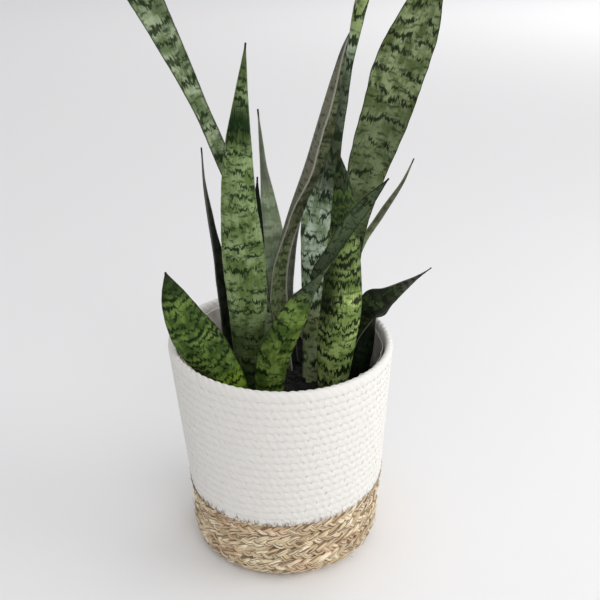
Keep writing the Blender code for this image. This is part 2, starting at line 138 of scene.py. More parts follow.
LEAVES = {
    "leaf_low_left": dict(
        stations=[(-37.4, -40, 147, 20, 95, 30), (-58.9, -47, 211, 37, 95, 20),
            (-75.8, -48, 239, 44, 95, 16), (-90.4, -45, 264, 38, 95, 14),
            (-100.4, -40, 288, 23, 95, 14), (-106.8, -35, 310, 0, 95, 14)],
        slot="leaf_green", wave=2, pale=(108, 134, 64), mid=(58, 82, 30), dark=(10, 24, 2),
        spacing=8, width=0.36, bands=0.92, smudge=0.65, jag=14, patch=1.9, vee=0.25,
        edge=(24, 36, 12),
        bars=[0.22, 0.3, 0.35, 0.4, 0.45, 0.5, 0.55, 0.59, 0.63, 0.68, 0.72, 0.76, 0.81, 0.86,
            0.91],
        tints_and_root_shade=[(-1, 0.36, (134, 166, 52), 0.7), (0.86, 2, (40, 60, 22), 0.8)]),
    "leaf_tall_front": dict(
        stations=[(-35.4, -18, 147, 18, 90, 30), (-34.4, -25, 213, 27, 90, 18),
            (-33.4, -28, 270, 36, 90, 12), (-35.4, -29, 318, 39, 90, 10),
            (-38.4, -29, 376, 31, 90, 12), (-37.4, -27, 420, 24, 90, 14),
            (-33.9, -25, 460, 13, 90, 16), (-28.4, -23, 509, 0, 90, 20)],
        slot="leaf_green", pale=(138, 158, 108), mid=(90, 110, 58), dark=(14, 30, 4), spacing=9,
        width=0.36, bands=0.9, smudge=0.72, jag=16, patch=2, vee=-0.1, edge=(120, 132, 100),
        margin=0.3,
        bars=[0.1, 0.14, 0.18, 0.22, 0.26, 0.33, 0.36, 0.39, 0.44, 0.48, 0.52, 0.56, 0.61, 0.64,
            0.67, 0.7, 0.72, 0.75, 0.78, 0.8, 0.86, 0.89, 0.92, 0.95],
        # painted shade: the dark stretch at the root stands for the shade low in the pot
        tints_and_root_shade=[(-1, 0.19, (26, 34, 18), 0.75), (0.19, 0.3, (50, 60, 30), 0.7),
            (0.775, 0.865, (20, 44, 10), 1), (0.9, 2, (66, 80, 48), 0.6)]),
    "leaf_long_left": dict(
        stations=[(-13.4, 9, 147, 16, -90, 30), (-18.9, 7, 240, 17, -60, 25),
            (-31.1, 3, 335, 17, -50, 18), (-52.1, -10, 407, 14, -60, 16),
            (-74.1, -32, 473, 15, -65, 16), (-92.1, -50, 521, 21, -80, 14),
            (-118.1, -74, 586, 25.5, -90, 14), (-137.1, -92, 634, 0, -90, 14)],
        pale=(158, 172, 138), mid=(94, 110, 74), dark=(26, 40, 14), width=0.42, bands=0.9,
        smudge=0.7, jag=20, patch=2, vee=0.35, edge=(58, 66, 48),
        bars=[0.05, 0.1, 0.15, 0.2, 0.22, 0.25, 0.3, 0.34, 0.38, 0.44, 0.47, 0.51, 0.57, 0.6, 0.66,
            0.7, 0.73, 0.76, 0.8, 0.84, 0.88, 0.92],
        # painted shade: the darker stretch at the root stands for the shade low in the pot
        tints_and_root_shade=[(-1, 0.16, (70, 84, 52), 0.6), (0.93, 2, (84, 100, 66), 0.8)]),
    "leaf_spike_left": dict(
        stations=[(-51.4, 11, 147, 14, -40, 30), (-54.1, 11, 216, 22, -45, 25),
            (-57.2, 9, 272, 21, -45, 22), (-64.7, 7, 325, 12, -30, 22),
            (-70.2, 5, 372, 6, -10, 22), (-71.7, 3, 415, 0, 0, 22)],
        slot="leaf_dark", wave=0.6, pale=(48, 54, 42), mid=(18, 24, 14), dark=(6, 10, 4),
        spacing=13, edge=(120, 120, 112), margin=0.5,
        tints_and_root_shade=[(0.72, 2, (64, 64, 58), 0.7)]),
    "leaf_dark_sliver": dict(
        stations=[(-31.4, 11, 147, 14, 90, 30), (-27.4, 15, 258, 19, 90, 20),
            (-24.4, 15, 330, 13, 90, 20), (-22.4, 15, 384, 0, 90, 20)],
        # painted shade: near-black greens for a leaf that stands in shade behind the others
        slot="leaf_dark", wave=0.6, pale=(20, 26, 16), mid=(12, 18, 10), dark=(6, 10, 5),
        edge=(30, 34, 24), margin=0.1,
        tints_and_root_shade=[(0.85, 2, (14, 20, 12), 0.7)]),
    "leaf_curled_tip": dict(
        stations=[(-13.4, 39, 147, 18, 90, 30), (-10.4, 47, 250, 30, 90, 18),
            (-11.6, 53, 313, 26, 90, 14), (-14, 55, 354, 13.5, 90, 16),
            (-17.5, 55, 385, 6, 90, 20), (-19, 54, 405, 4, 90, 20), (-21.5, 53, 439, 0, 90, 20)],
        wave=1, pale=(166, 180, 150), mid=(136, 150, 120), dark=(84, 98, 66), spacing=16,
        width=0.24, bands=0.45, smudge=0.35, jag=10, edge=(160, 166, 148), margin=0.3,
        # painted shade: the dark stretch at the root stands for the shade low in the pot
        tints_and_root_shade=[(-1, 0.3, (50, 62, 38), 0.8), (0.74, 2, (98, 98, 88), 0.8)]),
    "leaf_folded": dict(
        stations=[(2.6, 23, 147, 16, -80, 34), (-5.5, 24, 240, 20, -70, 30),
            (-3.6, 25, 291, 17, -52, 34), (10.3, 28, 342, 22, -34, 40),
            (28.5, 28, 391, 33, -27, 42), (41.5, 25, 439, 29, -27, 42),
            (51.9, 21, 478, 22.5, -27, 40), (57.7, 19, 500, 13, -30, 36),
            (62.5, 17, 514, 0, -34, 30)],
        pale=(126, 134, 100), mid=(88, 92, 66), dark=(24, 34, 14), spacing=13, width=0.32,
        bands=0.55, smudge=0.7, jag=22, patch=2.1, vee=0.1, back=(122, 121, 103),
        edge=(184, 180, 170), margin=0.6,
        tints_and_root_shade=[(-1, 0.42, (124, 140, 94), 0.6), (0.42, 0.62, (104, 104, 80), 0.5),
            (0.92, 2, (88, 90, 70), 0.7)]),
    "leaf_long_centre": dict(
        stations=[(26.6, -3, 147, 16, 90, 30), (29.4, 3, 241, 20, 90, 24),
            (31.6, 8, 313, 27, 90, 16), (34.2, 8.5, 342, 31, 88, 16), (38.7, 8, 366, 24, 84, 16),
            (48.1, 3, 408, 12, 60, 20), (56, -7, 475, 10, 40, 24), (63.6, -15, 525, 11, 50, 24),
            (75.6, -29, 580, 13, 80, 18), (86.6, -45, 637, 0, 90, 16)],
        pale=(200, 218, 194), mid=(130, 150, 114), dark=(20, 36, 12), width=0.44, bands=0.94,
        smudge=0.65, jag=22, patch=2.1, vee=0.4, edge=(40, 50, 32), margin=0.4,
        bars=[0.04, 0.1, 0.15, 0.18, 0.22, 0.26, 0.29, 0.32, 0.36, 0.4, 0.44, 0.48, 0.52, 0.56,
            0.6, 0.64, 0.69, 0.73, 0.78, 0.84, 0.9],
        # painted shade: the darker stretch at the root stands for the shade low in the pot
        tints_and_root_shade=[(-1, 0.24, (116, 124, 70), 0.75), (0.44, 0.7, (46, 56, 30), 0.88),
            (0.73, 2, (136, 152, 80), 0.75)]),
    "leaf_crossing": dict(
        stations=[(-13.4, -43, 147, 22, 90, 26), (-9.4, -49, 225, 30, 95, 16),
            (4.6, -52, 260, 30, 105, 18), (20.8, -52, 288, 25, 135, 32),
            (32.3, -51, 311, 18, 180, 42), (44.6, -49, 333, 13.5, 225, 32),
            (55.1, -47, 352, 14, 250, 20), (72.6, -45, 375, 11.5, 260, 16),
            (92.6, -43, 398, 0, 265, 16)],
        slot="leaf_green", wave=1.2, pale=(116, 140, 68), mid=(66, 88, 34), dark=(10, 22, 2),
        spacing=8, width=0.33, bands=0.88, smudge=0.65, jag=14, patch=1.9, vee=0.3,
        edge=(24, 34, 14), margin=0.6,
        bars=[0.11, 0.16, 0.21, 0.26, 0.32, 0.37, 0.41, 0.46, 0.51, 0.54, 0.58, 0.63, 0.7, 0.75,
            0.8, 0.85, 0.9, 0.94],
        # The dark grey-green stretch from the middle up is the leaf's back, turned by the twist,
        # and partly painted shade
        tints_and_root_shade=[(0.53, 2, (64, 74, 58), 0.85)]),
    "leaf_broad_front": dict(
        stations=[(45.6, -21, 147, 22, 80, 32), (50.1, -27, 223, 36, 85, 26),
            (54.6, -29, 270, 38, 85, 24), (55.6, -27, 318, 31.5, 85, 24),
            (56.1, -25, 360, 23, 85, 22), (53.6, -23, 390, 14, 90, 22),
            (49.6, -21, 418, 0, 90, 22)],
        slot="leaf_green", wave=1, pale=(176, 198, 118), mid=(100, 124, 56), dark=(10, 20, 4),
        width=0.44, bands=0.95, smudge=0.65, jag=22, patch=2.1, vee=0.22,
        # painted shadow on one side of the midrib, cast by the crossing leaf
        painted_side_shadow=(0.34, 0.64, 1, (14, 24, 6), 0.95), arcs=[0.755, 0.785, 0.815, 0.845],
        edge=(56, 76, 32), margin=0.5,
        bars=[0.1, 0.14, 0.2, 0.26, 0.31, 0.35, 0.38, 0.43, 0.47, 0.52, 0.56, 0.61, 0.65, 0.7,
            0.74, 0.78, 0.82, 0.86, 0.9, 0.94],
        # painted shade: the darker stretch at the root stands for the shade low in the pot
        tints_and_root_shade=[(-1, 0.08, (80, 100, 48), 0.6), (0.14, 0.42, (146, 168, 100), 0.4),
            (0.5, 0.74, (72, 92, 44), 0.55), (0.72, 2, (22, 34, 22), 0.92)]),
    "leaf_long_right": dict(
        stations=[(46.6, 14, 147, 24, -90, 26), (54.1, 20, 210, 27, -90, 18),
            (61.6, 22, 285, 26, -90, 12), (69.5, 18, 344, 28.5, -88, 10),
            (82.6, 11, 404, 40, -85, 10), (94.3, 5, 447, 45.5, -85, 10),
            (103.8, -2, 487, 47, -85, 10), (114.8, -8, 520, 40, -85, 12),
            (121.8, -12, 545, 27, -85, 14), (135.8, -22, 605, 0, -85, 16)],
        slot="leaf_green", wave=0.7, pale=(136, 150, 108), mid=(80, 94, 52), dark=(14, 26, 6),
        spacing=11, width=0.35, bands=0.94, smudge=0.68, jag=17, patch=2.1, vee=-0.1,
        edge=(46, 54, 30), margin=0.6,
        bars=[0.03, 0.07, 0.1, 0.13, 0.18, 0.25, 0.28, 0.37, 0.45, 0.52, 0.58, 0.63, 0.67, 0.69,
            0.73, 0.76, 0.79, 0.82, 0.85, 0.88, 0.91, 0.94, 0.97],
        # painted shade: the darker stretch at the root stands for the shade low in the pot
        tints_and_root_shade=[(-1, 0.4, (62, 68, 46), 0.7), (0.4, 0.66, (72, 82, 54), 0.5),
            (0.93, 2, (78, 92, 60), 0.8)]),
    "leaf_spike_right": dict(
        stations=[(36.6, 37, 147, 12, 125, 30), (65.1, 48, 253, 12, 125, 25),
            (81.5, 48, 305, 11, 128, 22), (99.5, 45, 337, 9, 130, 20),
            (117.5, 41, 370, 4.5, 130, 20), (126.5, 38, 394, 0, 130, 20)],
        wave=0.5, pale=(124, 134, 98), mid=(92, 102, 68), dark=(40, 48, 28), edge=(130, 138, 96),
        margin=0.5,
        tints_and_root_shade=[(0.7, 2, (84, 84, 72), 0.8)]),
    "leaf_drooping_right": dict(
        stations=[(58.6, 31, 147, 20, 100, 28), (71.6, 31, 210, 27, 100, 20),
            (84.6, 32, 235.5, 28, 100, 16), (96.5, 33, 244, 37, 100, 16),
            (107.5, 34.5, 251, 23, 104, 18), (125.6, 37, 263, 9, 110, 20),
            (150.6, 39, 281, 0, 110, 20)],
        # painted shade: dark greens for a leaf whose face is turned away from the light
        slot="leaf_dark", wave=2, pale=(56, 70, 36), mid=(18, 28, 8), dark=(3, 7, 2), spacing=9,
        width=0.34, bands=0.7, smudge=0.6, patch=1.6, edge=(100, 100, 88), margin=0.4,
        tints_and_root_shade=[(0.78, 2, (76, 76, 66), 0.75)]),
    "leaf_short_right": dict(
        stations=[(69.6, 0, 147, 18, 100, 28), (78.6, 10, 187, 24, 105, 22),
            (84.6, 14, 210, 19, 110, 20), (93.6, 17, 240, 0, 110, 20)],
        # painted shade: dark greens for a short leaf that stands in shade
        slot="leaf_dark", pale=(28, 40, 20), mid=(10, 18, 7), dark=(3, 6, 2), spacing=9, bands=0.6,
        edge=(116, 118, 104),
        tints_and_root_shade=[(0.86, 2, (30, 36, 26), 0.7)]),
    "leaf_small_centre": dict(
        stations=[(11.6, 37, 147, 13, -60, 28), (4.3, 41, 257, 13, -60, 24),
            (9.3, 45, 299, 9, -60, 22), (20.4, 47, 339, 0, -60, 22)],
        wave=0.5, pale=(110, 112, 100), mid=(80, 82, 70), dark=(50, 54, 44), width=0.28,
        bands=0.35, edge=(170, 172, 164), margin=0.4,
        # painted shade: the near-black stretch at the root stands for the shade low in the pot
        tints_and_root_shade=[(-1, 0.45, (20, 24, 16), 0.8), (0.8, 2, (110, 110, 100), 0.7)]),
}


def linear(colour):
    """A colour as the eye sees it, 0 to 255, as the linear values that shaders read."""
    share = np.asarray(colour, dtype=float) / 255.0
    low = share / 12.92
    high = ((share + 0.055) / 1.055) ** 2.4
    return tuple(float(v) for v in np.where(share <= 0.04045, low, high))


# Sizes and colours that a user would change


def amount_setting(name, description, default):
    return FloatProperty(name=name, description=description, default=default, min=0.0)


def length_setting(name, description, default):
    return FloatProperty(
        name=name, description=description, default=default, unit="LENGTH", subtype="DISTANCE")


def colour_setting(name, description, shown):
    """A colour that the user can change, whose default is given as the eye sees it."""
    return FloatVectorProperty(
        name=name, description=description, subtype="COLOR", size=3, default=linear(shown),
        min=0.0, max=1.0)


class BasketSizes(bpy.types.PropertyGroup):
    """Sizes and colours of the basket."""

    coil_count: IntProperty(
        name="Rope coils", description="Coils of rope from the seam to the rim", default=18, min=2)
    lay: length_setting(
        "Rope lay", "Length of one full twist of the rope's strands", 0.0235)
    stitch_step: length_setting(
        "Stitch step", "Distance from one stitch to the next along a coil", 0.006)
    braid_pitch: length_setting("Braid row", "Height of one row of braid", 0.0148)
    braid_period: length_setting(
        "Braid period", "Length along the braid in which a strand repeats", 0.030)
    rope_colour: colour_setting("Rope", "Colour of the cotton rope", (232, 229, 224))
    grass_colour: colour_setting("Seagrass", "Colour of the palest seagrass", (253, 240, 210))


class PlantSizes(bpy.types.PropertyGroup):
    """Sizes and colours of the leaves, the soil and the film."""

    row_step: length_setting("Leaf row", "Distance between rows of points along a leaf", 0.0026)
    crumb_count: IntProperty(
        name="Crumbs", description="Loose crumbs on the soil", default=900, min=0)
    # partly painted shade: the soil's near-black colour is partly its own and partly the shade deep
    # in the pot
    soil_and_shade_colour: colour_setting("Soil", "Colour of the damp soil", (14, 12, 9))
    film_colour: colour_setting("Film", "Colour of the liner film", (206, 199, 190))


class StudioSizes(bpy.types.PropertyGroup):
    """The floor, the lights and the camera's lens."""

    floor_radius: length_setting("Floor", "Radius of the pale floor", 14.0)
    floor_colour: colour_setting("Floor colour", "Colour of the floor", (236, 235, 235))
    key_power: amount_setting(
        "Key light", "Power in watts of the soft light at the right", 10.2)
    fill_power: amount_setting(
        "Front light", "Power in watts of the soft light in front", 19.5)
    back_power: amount_setting(
        "Back light", "Power in watts of the light on the floor behind", 77.0)
    room_strength: amount_setting(
        "Room light", "Strength of the light from all sides", 0.69)
    lens: FloatProperty(
        name="Lens", description="Focal length in millimetres on a 36 mm sensor",
        default=50.0, min=1.0)


# Meshes from grids of points


def grid_quads(rows, columns, close_rows=False, close_columns=False):
    """Corner indices of a grid's quads, and the unwrapped (row, column) of each corner."""
    i = np.arange(rows if close_rows else rows - 1)
    j = np.arange(columns if close_columns else columns - 1)
    i, j = np.meshgrid(i, j, indexing="ij")
    corners = ((i, j), (i, j + 1), (i + 1, j + 1), (i + 1, j))
    quads = np.stack([(a % rows) * columns + b % columns for a, b in corners], axis=-1)
    places = np.stack([np.stack([a, b], axis=-1) for a, b in corners], axis=-2)
    return quads.reshape(-1, 4), places.reshape(-1, 4, 2)


def add_piece(name, points, quads, extra=(), uv=None, values=None, material=None,
              nodes=()):
    """Puts points and faces in a mesh, gives it its finish, and rides it on the body.

    uv holds a pair for each corner of the quads, and values a number for each point.
    """
    mesh = bpy.data.meshes.new(name)
    faces = np.asarray(quads).reshape(-1, 4).tolist() + [tuple(face) for face in extra]
    mesh.from_pydata(np.asarray(points).reshape(-1, 3).tolist(), [], faces)
    if uv is not None:
        flat = np.zeros((len(mesh.loops), 2))
        flat[: len(quads) * 4] = np.asarray(uv).reshape(-1, 2)
        mesh.uv_layers.new(name="UVMap").data.foreach_set("uv", flat.ravel())
    for label, numbers in (values or {}).items():
        layer = mesh.attributes.new(label, "FLOAT", "POINT")
        layer.data.foreach_set("value", np.asarray(numbers, dtype=np.float32).ravel())
    mesh.shade_smooth()
    mesh.materials.append(material)
    piece = bpy.data.objects.new(name, mesh)
    bpy.context.scene.collection.objects.link(piece)
    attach(piece, BODY)
    if nodes:
        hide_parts(*nodes)
    return piece


def unit(vectors):
    """Vectors at length 1, along the last axis."""
    return vectors / np.linalg.norm(vectors, axis=-1, keepdims=True)


def tube_points(path, side, section):
    """A section carried along a path: path + side times x + (tangent cross side) times y.

    path and side have shape (..., rows, 3), and section (..., rows, columns, 2).
    """
    tangent = unit(np.gradient(path, axis=-2))
    side = unit(side - tangent * np.sum(side * tangent, axis=-1, keepdims=True))
    other = np.cross(tangent, side)
    return (
        path[..., :, None, :]
        + side[..., :, None, :] * section[..., 0:1]
        + other[..., :, None, :] * section[..., 1:2]
    )


def many_tubes(points):
    """Quads, corner places and end caps of several tubes, shape (tubes, rows, columns, 3)."""
    tubes, rows, columns = points.shape[:3]
    quads, places = grid_quads(rows, columns, close_columns=True)
    start = np.arange(tubes) * rows * columns
    quads = (start[:, None, None] + quads[None]).reshape(-1, 4)
    places = np.broadcast_to(places[None], (tubes,) + places.shape).reshape(-1, 4, 2)
    ring = np.arange(columns)
    first = start[:, None] + ring[::-1][None]
    last = start[:, None] + (rows - 1) * columns + ring[None]
    return quads, places, first.tolist() + last.tolist()


def smoothstep(share):
    """0 below 0 and 1 above 1, smooth between."""
    share = np.clip(share, 0.0, 1.0)
    return share * share * (3.0 - 2.0 * share)


def taper(share):
    """The size of a loose end: 0.3 where it starts, and full when share reaches 1."""
    return 0.3 + 0.7 * smoothstep(share)


def bundle(*parts):
    """Coordinates, stretched to one shape, as the numbers along a last axis."""
    return np.stack(np.broadcast_arrays(*parts), axis=-1)


def bearings(count):
    """Even angles round a full turn."""
    return TURN * np.arange(count) / count


def circle(angle):
    """Points at radius 1, from the x axis towards the y axis."""
    return bundle(np.cos(angle), np.sin(angle))


def distance_along(path):
    """The distance run at each point of a path."""
    steps = np.linalg.norm(np.diff(path, axis=0), axis=1)
    return np.concatenate([[0.0], np.cumsum(steps)])


def ripples(places, count, lowest, highest, rng):
    """Smooth random numbers about 0: a sum of sines in random directions and wavelengths.

    places has shape (..., d), and lowest and highest are wavelengths in metres.
    """
    total = np.zeros(places.shape[:-1])
    for _ in range(count):
        direction = rng.normal(size=places.shape[-1])
        direction /= np.linalg.norm(direction)
        length = lowest * (highest / lowest) ** rng.random()
        total += np.sin(TURN * (places @ direction) / length + TURN * rng.random())
    return total / math.sqrt(count)


# Node trees


class Board:
    """A node tree to which nodes are added with their inputs set or wired."""

    def __init__(self, tree):
        self.tree = tree

    def fill(self, socket, value):
        """Wires a socket to a value that is another node's output, and else sets it."""
        if isinstance(value, bpy.types.NodeSocket):
            self.tree.links.new(value, socket)
        else:
            socket.default_value = value

    def add(self, kind, inputs=None, **settings):
        node = self.tree.nodes.new(kind)
        for label, value in settings.items():
            setattr(node, label, value)
        for key, value in (inputs or {}).items():
            self.fill(node.inputs[key], value)
        return node

    def maths(self, operation, a, b):
        return self.add("ShaderNodeMath", {0: a, 1: b}, operation=operation).outputs[0]

    def times(self, a, b):
        return self.maths("MULTIPLY", a, b)

    def plus(self, a, b):
        return self.maths("ADD", a, b)

    def less(self, a, b):
        return self.maths("SUBTRACT", a, b)

    def over(self, a, b):
        return self.maths("DIVIDE", a, b)

    def noise(self, vector, scale, detail=2.0):
        """Noise of the vector stretched by scale, a triple of repeats a metre."""
        stretched = self.add("ShaderNodeVectorMath", {0: vector, 1: scale}, operation="MULTIPLY")
        inputs = {"Vector": stretched.outputs[0], "Scale": 1.0, "Detail": detail}
        return self.add("ShaderNodeTexNoise", inputs).outputs[0]

    def rise(self, value, low, high):
        """0 below low and 1 above high, smooth between."""
        inputs = {"Value": value, "From Min": low, "From Max": high}
        return self.add("ShaderNodeMapRange", inputs, interpolation_type="SMOOTHSTEP").outputs[0]

    def fall(self, value, low, high):
        """1 below low and 0 above high, smooth between."""
        return self.less(1.0, self.rise(value, low, high))

    def mix(self, share, a, b):
        """The colour a where share is 0 and b where it is 1."""
        node = self.add("ShaderNodeMix", {0: share}, data_type="RGBA")
        for index, colour in ((6, a), (7, b)):
            wired = isinstance(colour, bpy.types.NodeSocket)
            self.fill(node.inputs[index], colour if wired else (*colour[:3], 1.0))
        return node.outputs[2]

    def tint(self, colour, mask, shown, strength=None):
        """A colour under another, given as the eye sees it, where the mask is 1."""
        share = mask if strength is None else self.times(mask, strength)
        return self.mix(share, colour, linear(shown))

    def value(self, label):
        return self.add("ShaderNodeAttribute", attribute_name=label).outputs["Fac"]

    def place(self):
        return self.add("ShaderNodeTexCoord").outputs["Object"]

    def flat_place(self):
        return self.add("ShaderNodeUVMap", uv_map="UVMap").outputs[0]

    def group(self, tree, inputs):
        return self.add("ShaderNodeGroup", inputs, node_tree=tree)


class Finish(Board):
    """The board of a new material, which hands its results to the material's own shader."""

    def __init__(self, name, roughness, sheen=0.0):
        self.material = bpy.data.materials.new(name)
        self.material.use_nodes = True
        super().__init__(self.material.node_tree)
        self.shader = self.tree.nodes["Principled BSDF"]
        self.shader.inputs["Roughness"].default_value = roughness
        self.shader.inputs["Sheen Weight"].default_value = sheen

    def coat_with(self, colour, height=None, strength=0.0, depth=0.0, roughness=None):
        """Gives the shader a colour, a relief in metres and a roughness that varies."""
        self.fill(self.shader.inputs["Base Color"], colour)
        if roughness is not None:
            self.fill(self.shader.inputs["Roughness"], roughness)
        if height is not None:
            bump = self.add("ShaderNodeBump", {
                "Strength": strength, "Distance": depth, "Height": height})
            self.fill(self.shader.inputs["Normal"], bump.outputs[0])
        return self.material


def new_group(name, inputs, outputs):
    """A node group with named sockets. inputs maps a name to its default, None for a place."""
    tree = bpy.data.node_groups.new(name, "ShaderNodeTree")
    for label, default in inputs.items():
        kind = "NodeSocketVector" if default is None else "NodeSocketFloat"
        socket = tree.interface.new_socket(label, in_out="INPUT", socket_type=kind)
        if default is not None:
            socket.default_value = default
    for label in outputs:
        tree.interface.new_socket(label, in_out="OUTPUT", socket_type="NodeSocketFloat")
    board = Board(tree)
    return tree, board, board.add("NodeGroupInput").outputs, board.add("NodeGroupOutput").inputs


def leaf_noise_group():
    """What the markings of every leaf share: jagged places, patchiness, streaks and clouds.

    The place along the leaf is pushed about by slow noise and by noise that is fine across the
    leaf and long along it, so that lines drawn at fixed places get teeth. Vee bends such lines
    down at the middle of the leaf. Patches is a mix of slow and streaky noise around zero, and
    Smudge is soft dark spots between the bands.
    """
    tree, b, given, put = new_group(
        "leaf_noise",
        {"Place": None, "Middle": 0.0, "Spacing": 0.012, "Jag": 0.014, "Patch": 1.2, "Vee": 0.3},
        ("Pushed", "Patches", "Smudge", "Streaks", "Clouds"))
    place, jag = given["Place"], given["Jag"]

    def swing(across, along, detail, share):
        """Noise around zero, with repeats a metre across the leaf and along it."""
        return b.times(b.less(b.noise(place, (across, along, 1.0), detail), 0.5), share)

    teeth = swing(330.0, 46.0, 2.0, 1.0)
    bend = b.times(b.maths("ABSOLUTE", given["Middle"], 0.0), given["Vee"])
    pushed = b.less(swing(30.0, 24.0, 1.0, 0.020), bend)
    pushed = b.plus(pushed, swing(60.0, 38.0, 1.0, given["Spacing"]))
    pushed = b.plus(pushed, b.times(teeth, jag))
    pushed = b.plus(pushed, swing(1250.0, 130.0, 1.0, b.times(jag, 0.45)))
    patches = b.plus(swing(70.0, 50.0, 2.0, given["Patch"]), swing(620.0, 90.0, 2.0, 0.9))
    spots = b.plus(b.noise(place, (150.0, 260.0, 1.0), 3.0), b.times(teeth, 0.35))
    streaks = b.noise(place, (1400.0, 14.0, 1.0), 3.0)
    clouds = b.plus(b.noise(place, (64.0, 52.0, 1.0), 2.0), b.times(teeth, 0.5))
    for name, value in (("Pushed", pushed), ("Patches", patches),
                        ("Smudge", b.rise(spots, 0.50, 0.66)),
                        ("Streaks", streaks), ("Clouds", b.rise(clouds, 0.36, 0.66))):
        b.fill(put[name], value)
    return tree


def bar_ramp(b, share, bars, half):
    """One at each bar's share of the length, falling to nothing at half on either side."""
    crest = 0.0
    for first in range(0, len(bars), 10):
        ramp = b.add("ShaderNodeValToRGB", {0: share})
        stops = ramp.color_ramp.elements
        stops[0].color = stops[1].color = (0.0, 0.0, 0.0, 1.0)
        for bar in bars[first:first + 10]:
            for place, level in ((bar - half, 0.0), (bar, 1.0), (bar + half, 0.0)):
                stops.new(place).color = (level, level, level, 1.0)
        crest = b.maths("MAXIMUM", crest, ramp.outputs[0])
    return crest


def leaf_length(leaf):
    """The length of a leaf in metres, from station to station."""
    middle = np.array(leaf["stations"], dtype=float)[:, :3]
    return float(np.linalg.norm(np.diff(middle, axis=0), axis=1).sum()) * MILLI


def leaf_material(name, leaf, order, noise_group):
    """The green of one leaf with its own bands, smudges, tints, margins and dry tip, and painted
    shade: darker tints at the root and, on one leaf, a painted shadow on one side.
    """
    b = Finish("waxy_" + name, 0.42)
    b.shader.inputs["Specular IOR Level"].default_value = WAX_GLOSS
    uv = b.flat_place()
    along = b.add("ShaderNodeSeparateXYZ", {0: uv}).outputs["Y"]
    shift = (0.37 * order, 0.61 * order, 0.0)
    place = b.add("ShaderNodeVectorMath", {0: uv, 1: shift}, operation="ADD").outputs[0]
    spacing = leaf["spacing"] * MILLI
    marks = b.group(noise_group, {
        "Place": place, "Middle": b.value("off_middle"), "Spacing": spacing,
        "Jag": leaf["jag"] * MILLI, "Patch": leaf["patch"], "Vee": leaf["vee"]}).outputs
    pushed, streaks = marks["Pushed"], marks["Streaks"]
    share = b.value("share")
    colour = b.mix(marks["Clouds"], linear(leaf["mid"]), linear(leaf["pale"]))
    # Painted shadow: a darker stretch on one side of the midrib, where a neighbouring leaf casts
    # its shadow
    if "painted_side_shadow" in leaf:
        start, end, side, tint, strength = leaf["painted_side_shadow"]
        inside = b.less(b.rise(share, start - PAINTED_SHADOW_BLUR, start + PAINTED_SHADOW_BLUR),
                        b.rise(share, end - PAINTED_SHADOW_BLUR, end + PAINTED_SHADOW_BLUR))
        beside = b.rise(b.times(b.value("off_middle"), side), -0.004, 0.012)
        colour = b.tint(colour, b.times(inside, beside), tint, strength)
    if "back" in leaf:
        back = b.times(b.less(1.0, b.value("front")), 0.85)
        colour = b.tint(colour, back, leaf["back"])
    # The tints: the leaf's own colours, and darker ones from the root that are painted shade low in
    # the pot
    soft = b.plus(share, b.times(b.less(streaks, 0.5), 0.10))
    for start, end, tint, strength in leaf["tints_and_root_shade"]:
        inside = b.rise(soft, start - TINT_BLUR, start + TINT_BLUR)
        past = b.rise(soft, end - TINT_BLUR, end + TINT_BLUR)
        colour = b.tint(colour, b.less(inside, past), tint, strength)
    colour = b.mix(b.times(b.rise(streaks, 0.36, 0.66), 0.5), colour,
                   b.mix(0.32, colour, (0.0,) * 3))
    colour = b.tint(colour, marks["Smudge"], leaf["dark"], leaf["smudge"])
    if "bars" in leaf:
        length = leaf_length(leaf)
        pushed_share = b.plus(share, b.over(pushed, length))
        crest = bar_ramp(b, pushed_share, leaf["bars"], 0.5 * spacing / length)
    else:
        turns = b.over(b.plus(along, pushed), spacing)
        crest = b.plus(0.5, b.times(b.maths("COSINE", b.times(turns, TURN), 0.0), 0.5))
    above = b.plus(b.less(crest, 1.0 - leaf["width"]), marks["Patches"])
    bands = b.times(b.rise(above, *BAND_EDGE), leaf["bands"])
    if "back" in leaf:
        bands = b.times(bands, b.less(1.0, back))
    colour = b.tint(colour, bands, leaf["dark"])
    if "arcs" in leaf:
        arcs = bar_ramp(b, pushed_share, leaf["arcs"], ARC_HALF / length)
        colour = b.tint(colour, arcs, BRIGHT_ARC, 0.55)
    margin = b.fall(b.value("from_margin"), *MARGIN_REACH)
    colour = b.tint(colour, margin, leaf["edge"], leaf["margin"])
    colour = b.tint(colour, b.fall(b.value("from_tip"), *DRY_TIP_REACH), DRY_TIP)
    dapple = b.noise(place, (300.0, 260.0, 1.0), 2.0)
    relief = b.plus(b.times(streaks, 0.7), b.times(dapple, 0.5))
    return b.coat_with(colour, relief, 0.35, 0.0006, b.plus(0.40, b.times(streaks, 0.25)))


def fibre_group():
    """Fine fibres that run along a strand: noise that is thin across and long along it."""
    tree, b, given, put = new_group(
        "strand_fibres", {"Place": None, "Across": 2500.0, "Along": 120.0}, ("Fibres", "Tone"))
    scale = b.add("ShaderNodeCombineXYZ", {0: given["Across"], 1: given["Along"]})
    b.fill(put["Fibres"], b.noise(given["Place"], scale.outputs[0], 3.0))
    b.fill(put["Tone"], b.noise(given["Place"], (240.0, 45.0, 1.0), 2.0))
    return tree


